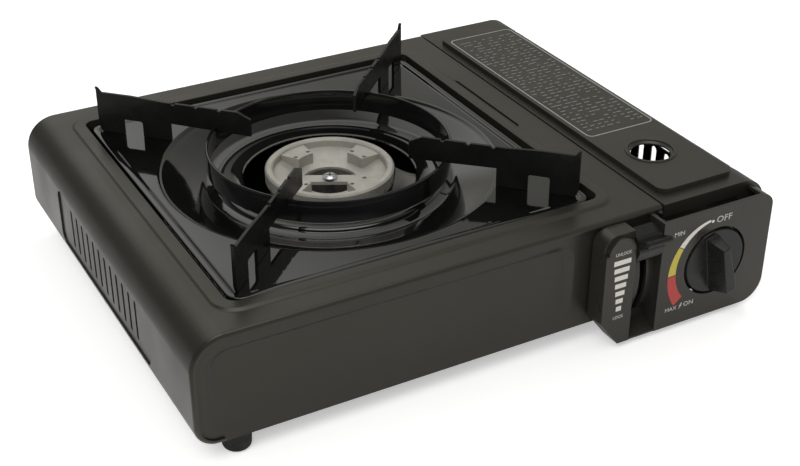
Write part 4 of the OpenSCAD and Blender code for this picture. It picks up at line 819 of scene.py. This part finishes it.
# %% Gas scale
FILM = 0.00012
PANEL_FACE = -13.1
RIGHT, BACK, UP = Vector((1, 0, 0)), Vector((0, 1, 0)), Vector((0, 0, 1))
SCALE_START, SCALE_END, SCALE_R = 13, 130, 0.0269
NARROW, WIDENING = 1.3, 5.6
DOT_ANGLE, DOT_AT, DOT_R = 10.2, 0.0265, 0.0009
scale_centre = Vector((KNOB_AXIS.x, spot(0, PANEL_FACE, 0).y, KNOB_AXIS.z))


def film(name, outline, finish, origin):
    """A flat outline in metres, raised into a thin film on the panel's face."""
    levels = [[origin + RIGHT * x + UP * y - BACK * lift for x, y in outline]
              for lift in (0, FILM)]
    return add_piece(name, skin(name, levels, closed=False), "stove", finish)


def dial(angle, radius):
    """A place on the dial: degrees to the left from its top, and a radius."""
    return -math.sin(math.radians(angle)) * radius, math.cos(math.radians(angle)) * radius


def scale_width(angle):
    return (NARROW + (angle - SCALE_START) / (SCALE_END - SCALE_START) * WIDENING) * MM


def scale_part(name, start, stop, finish):
    angles = [start + (stop - start) * i / 24 for i in range(25)]
    inner = [dial(a, SCALE_R) for a in angles]
    outer = [dial(a, SCALE_R + scale_width(a)) for a in reversed(angles)]
    return film(name, inner + outer, finish, scale_centre)


scale_part("scale_white", SCALE_START, 58.6, white_ink)
scale_part("scale_yellow", 59.6, 92.6, yellow_ink)
scale_part("scale_red", 93.6, SCALE_END, red_ink)
dot_x, dot_z = dial(DOT_ANGLE, DOT_AT)
dot = [(dot_x + DOT_R * math.cos(t * math.pi / 10), dot_z + DOT_R * math.sin(t * math.pi / 10))
       for t in range(20)]
film("scale_dot", dot, white_ink, scale_centre)
print("scale widens from", scale_width(SCALE_START), "to", scale_width(SCALE_END))

# %% Lock scale
bar_sizes = {"Bars": 7, "Pitch": 0.00488, "Widest": 0.0110, "Narrowest": 0.0034,
             "Bar height": 0.0029, "Film": FILM * 2}
bar_tree, bar_size = new_tree("tapering_bars", bar_sizes)
step = add_node(bar_tree, "ShaderNodeCombineXYZ",
                {"Z": maths(bar_tree, "MULTIPLY", bar_size["Pitch"], -1.0)})
row = add_node(bar_tree, "GeometryNodeMeshLine",
               {"Count": bar_size["Bars"], "Offset": step.outputs[0]})
bar_shape = add_node(bar_tree, "ShaderNodeCombineXYZ",
                     {"X": 1.0, "Y": bar_size["Film"], "Z": bar_size["Bar height"]})
bar = add_node(bar_tree, "GeometryNodeMeshCube", {"Size": bar_shape.outputs[0]})
order = add_node(bar_tree, "GeometryNodeInputIndex").outputs[0]
last_bar = maths(bar_tree, "SUBTRACT", bar_size["Bars"], 1.0)
taper = remap(bar_tree, order, 0.0, last_bar, bar_size["Widest"], bar_size["Narrowest"])
bar_stretch = add_node(bar_tree, "ShaderNodeCombineXYZ", {"X": taper, "Y": 1.0, "Z": 1.0})
put = add_node(bar_tree, "GeometryNodeInstanceOnPoints",
               {"Points": row.outputs["Mesh"], "Instance": bar.outputs["Mesh"],
                "Scale": bar_stretch.outputs[0]})
end_tree(bar_tree, put.outputs["Instances"], white_ink)
bars_mesh = grow("lock_scale_bars", bar_tree, bar_sizes, spot(237.2, PANEL_FACE, 56.6))
add_piece("lock_scale_bars", bars_mesh, "stove", white_ink)
print("lock scale:", len(bars_mesh.polygons) // 6, "bars")

# %% Words
CAP_SHARE = 0.69
STROKE = 0.00003


def word(text, x, z, cap_height, stretch):
    """Upright text on the panel's face; x and z are the middle of the word."""
    name = "word_" + text.lower()
    curve = bpy.data.curves.new(name, "FONT")
    curve.body = text
    curve.size = cap_height * MM / CAP_SHARE
    curve.align_x = "CENTER"
    curve.align_y = "CENTER"
    curve.extrude = FILM
    curve.resolution_u = 3
    curve.offset = STROKE
    mesh = plain_mesh(put_in_scene(name, curve), name)
    spread = Matrix.Diagonal((stretch, 1, 1, 1))
    upright = Matrix.Rotation(math.pi / 2, 4, "X")
    mesh.transform(Matrix.Translation(spot(x, PANEL_FACE, z)) @ upright @ spread)
    mesh.materials.clear()
    mesh.materials.append(word_ink.mat)
    return add_piece(name, mesh, "stove", word_ink)


panel_words = [("OFF", 304.3, 65.0, 3.7, 1.15), ("MIN", 274.1, 63.3, 2.5, 1.1),
               ("MAX", 273.7, 15.2, 2.35, 1.1), ("ON", 285.9, 15.7, 2.8, 1.1),
               ("UNLOCK", 237.4, 61.8, 1.9, 0.9), ("LOCK", 237.4, 21.8, 1.9, 0.95)]
for words in panel_words:
    word(*words)
bolt = [(0.0004, 0.0018), (0.0012, 0.0018), (0.0005, 0.0004), (0.0011, 0.0004),
        (-0.0010, -0.0020), (-0.0003, -0.0003), (-0.0009, -0.0003)]
film("spark_mark", bolt, word_ink, spot(280.2, PANEL_FACE, 15.6))
print("words on the panel:", len(panel_words))

# %% [markdown]
# ## The lid's print
# A thin rounded frame, with rows of plain dashes inside where a real one carries its small print.
# The rows are drawn by a tree: short bars on a grid, each pushed sideways, shortened and now and
# then left out by seeded random values, so that they read as lines of print and not as holes.

# %% Lid frame
LID_TOP = 78.0


def rounded(x0, y0, x1, y1, radius, steps=6):
    points = []
    for cx, cy, start in ((x1 - radius, y1 - radius, 0), (x0 + radius, y1 - radius, 90),
                          (x0 + radius, y0 + radius, 180), (x1 - radius, y0 + radius, 270)):
        for i in range(steps + 1):
            a = math.radians(start + 90 * i / steps)
            points.append((cx + radius * math.cos(a), cy + radius * math.sin(a)))
    return points


frame_outside = rounded(280, 80, 327, 241, 4)
frame_inside = rounded(280.8, 80.8, 326.2, 240.2, 3.2)
frame_rings = [[spot(x, y, LID_TOP) + UP * lift for x, y in outline] for outline, lift in (
    (frame_outside, 0), (frame_outside, FILM), (frame_inside, FILM), (frame_inside, 0))]
add_piece("lid_frame", skin("lid_frame", frame_rings), "lid", grey_ink)
print("lid frame:", len(frame_outside), "points round")

# %% Lid rows
SWAY = 0.0013
row_sizes = {"Rows": 37, "Dashes": 8, "Row pitch": 0.0039, "Dash pitch": 0.0046, "Dash": 0.0046,
             "Thickness": 0.0009, "Film": FILM * 2}
row_tree, row_size = new_tree("dash_rows", row_sizes)
grid = add_node(row_tree, "GeometryNodeMeshGrid", {
    "Vertices X": row_size["Dashes"],
    "Vertices Y": row_size["Rows"],
    "Size X": maths(row_tree, "MULTIPLY", row_size["Dashes"], row_size["Dash pitch"]),
    "Size Y": maths(row_tree, "MULTIPLY", row_size["Rows"], row_size["Row pitch"])})
dash_shape = add_node(
    row_tree, "ShaderNodeCombineXYZ",
    {"X": row_size["Dash"], "Y": row_size["Thickness"], "Z": row_size["Film"]})
dash = add_node(row_tree, "GeometryNodeMeshCube", {"Size": dash_shape.outputs[0]})
length = add_node(row_tree, "FunctionNodeRandomValue",
                  {"Min": 0.35, "Max": 0.95, "Seed": 7}, data_type="FLOAT")
dash_scale = add_node(row_tree, "ShaderNodeCombineXYZ",
                      {"X": length.outputs["Value"], "Y": 1.0, "Z": 1.0})
sway = add_node(row_tree, "FunctionNodeRandomValue",
                {"Min": -SWAY, "Max": SWAY, "Seed": 3}, data_type="FLOAT")
shift = add_node(row_tree, "ShaderNodeCombineXYZ", {"X": sway.outputs["Value"]})
jog = add_node(row_tree, "GeometryNodeSetPosition",
               {"Geometry": grid.outputs["Mesh"], "Offset": shift.outputs[0]})
keep = add_node(row_tree, "FunctionNodeRandomValue",
                {"Probability": 0.86, "Seed": 11}, data_type="BOOLEAN")
scatter = add_node(row_tree, "GeometryNodeInstanceOnPoints", {
    "Points": jog.outputs["Geometry"], "Instance": dash.outputs["Mesh"],
    "Selection": keep.outputs["Value"], "Scale": dash_scale.outputs[0]})
end_tree(row_tree, scatter.outputs["Instances"], print_ink)
rows_mesh = grow("lid_dash_rows", row_tree, row_sizes, spot(303.5, 160.5, LID_TOP))
add_piece("lid_dash_rows", rows_mesh, "lid", print_ink)
print("lid print:", len(rows_mesh.polygons) // 6, "dashes")

# %% [markdown]
# ## Pressed frames and the tray border
# A press leaves no knife edges: the sheet rolls down into the recessed frame of each end plate over
# about 5 mm, and rises to the tray border in a soft slope. Both are lofted from rounded rectangles,
# each a little inside the last, and lie on the sheet like the sheet's own skin. The frames are
# hardly pressed at the bottom and deepest at the top.

# %% Rolled presses
PROUD = 0.04
PRESS = (8.2, 216.5, 17.0, 67.4)
PRESS_CORNER, PRESS_ROLL, PRESS_LIP = 12, 5.0, 0.8
PRESS_SHALLOW, PRESS_GAIN = 0.2, 2.2
PLATE_FACE = 1.2
BODY_D = 266


def press_ring(inset, share, extra, mirrored):
    x0, x1, z0, z1 = PRESS
    points = []
    for x, z in rounded(x0 + inset, z0 + inset, x1 - inset, z1 - inset, PRESS_CORNER - inset, 10):
        depth = PRESS_SHALLOW + (z - z0) / (z1 - z0) * PRESS_GAIN
        y = PLATE_FACE - PROUD + depth * share + extra
        points.append(spot(x, BODY_D - y if mirrored else y, z))
    return points


def press_roll(name, mirrored):
    rings = [press_ring(0, 1, 0.3, mirrored)]
    for part_no in range(11):
        t = part_no / 10
        rings.append(press_ring(t * PRESS_ROLL, t * t * (3 - 2 * t), 0, mirrored))
    rings.append(press_ring(PRESS_ROLL + PRESS_LIP, 1, 0, mirrored))
    mesh = skin(name, rings, closed=False, crease=32)
    return add_piece(name, mesh, "stove", body_paint)


for press_name, at_back in (("front_press_roll", False), ("back_press_roll", True)):
    roll = press_roll(press_name, at_back)
    print(press_name, [round(v, 4) for v in roll.dimensions])

# %% Rolled tray border
OPENING = (29.6, 22.2, 246.3, 243.2)
BORDER_W, OPENING_CORNER, TOP_PLATE = 7, 6, 75
border_rise = [(1.6, -0.25), (1.6, 0.03), (1.2, 0.08), (0.8, 0.22), (0.35, 0.50), (-0.1, 0.80),
               (-0.5, 1.00), (-1.0, 1.13), (-1.6, 1.17), (-5.2, 1.17), (-6.0, 1.15), (-6.5, 1.12),
               (-6.5, 0.9)]
border_rings = []
for wider, rise in border_rise:
    g = BORDER_W + wider
    outline = rounded(OPENING[0] - g, OPENING[1] - g, OPENING[2] + g, OPENING[3] + g,
                      OPENING_CORNER + g, 12)
    border_rings.append([spot(x, y, TOP_PLATE + rise) for x, y in outline])
border_mesh = skin("tray_border_roll", border_rings, crease=32)
border_roll = add_piece("tray_border_roll", border_mesh, "stove", body_paint)
print("tray border:", [round(v, 4) for v in border_roll.dimensions])

# %% [markdown]
# ## The burner's throat
# Where the mixing tube enters the burner, the casting swells into a short funnel. It hugs the cap's
# round wall and narrows outwards to the tube, so each of its rings starts a little further out at
# the sides than a plain cone would.

# %% Throat flare
TUBE_BEARING = math.radians(-27.5)
TUBE_AXIS_Z = 53.0
CAP_WALL = 37.4
FLARE_END, FLARE_R, FLARE_SWELL = 49.0, 11.0, 4.2
FLARE_STEPS, FLARE_SIDES = 8, 40
outwards = Vector((math.cos(TUBE_BEARING), math.sin(TUBE_BEARING), 0))
across = Vector((-outwards.y, outwards.x, 0))
flare_rings = []
for part_no in range(FLARE_STEPS + 1):
    t = part_no / FLARE_STEPS
    radius = FLARE_R + FLARE_SWELL * (1 - t) ** 1.6
    flare_ring = []
    for i in range(FLARE_SIDES):
        a = 2 * math.pi * i / FLARE_SIDES
        side, rise = radius * math.cos(a), radius * math.sin(a)
        start = math.sqrt(CAP_WALL ** 2 - side ** 2)
        reach = start + (FLARE_END - start) * t
        middle = outwards * reach + across * side + UP * (TUBE_AXIS_Z + rise)
        flare_ring.append(BURNER + middle * MM)
    flare_rings.append(flare_ring)
flare_mesh = skin("throat_flare", flare_rings, closed=False, crease=32)
# The throat flare takes the darker alloy copy: painted shade under the cap.
flare = add_piece("throat_flare", flare_mesh, "stove", painted_shade_alloy)
print("throat flare:", [round(v, 4) for v in flare.dimensions])

# %% [markdown]
# ## Finishes for everything else
# What is left keeps its CAD shape: the frame's meshes are right, and only need their own material.
# A table from material slot to finish does it in one pass.

# %% Materials on the CAD nodes
slot_finish = {
    "body_paint": body_paint, "lid_paint": lid_paint, "zinc_steel": zinc,
    "lever_steel": lever_steel, "rubber_foot": rubber, "panel_plastic": panel_plastic,
    "knob_plastic": grip_plastic, "valve_brass": brass, "governor_alloy": governor_alloy,
    "seal_rubber": seal_rubber, "copper_pipe": copper, "cast_alloy": cast_alloy,
    "white_ceramic": ceramic, "lead_silicone": silicone, "igniter_plastic": igniter_case,
    "black_enamel": enamel,
}
for part in frame["record"]["subparts"]:
    holder = nodes[part["node"]]
    holder.data.materials.clear()
    # The mixing tube takes the darker alloy copy: painted shade under the cap.
    finish = painted_shade_alloy if part["node"] == "mixing_tube" else slot_finish[part["material_slot"]]
    holder.data.materials.append(finish.mat)

# %% [markdown]
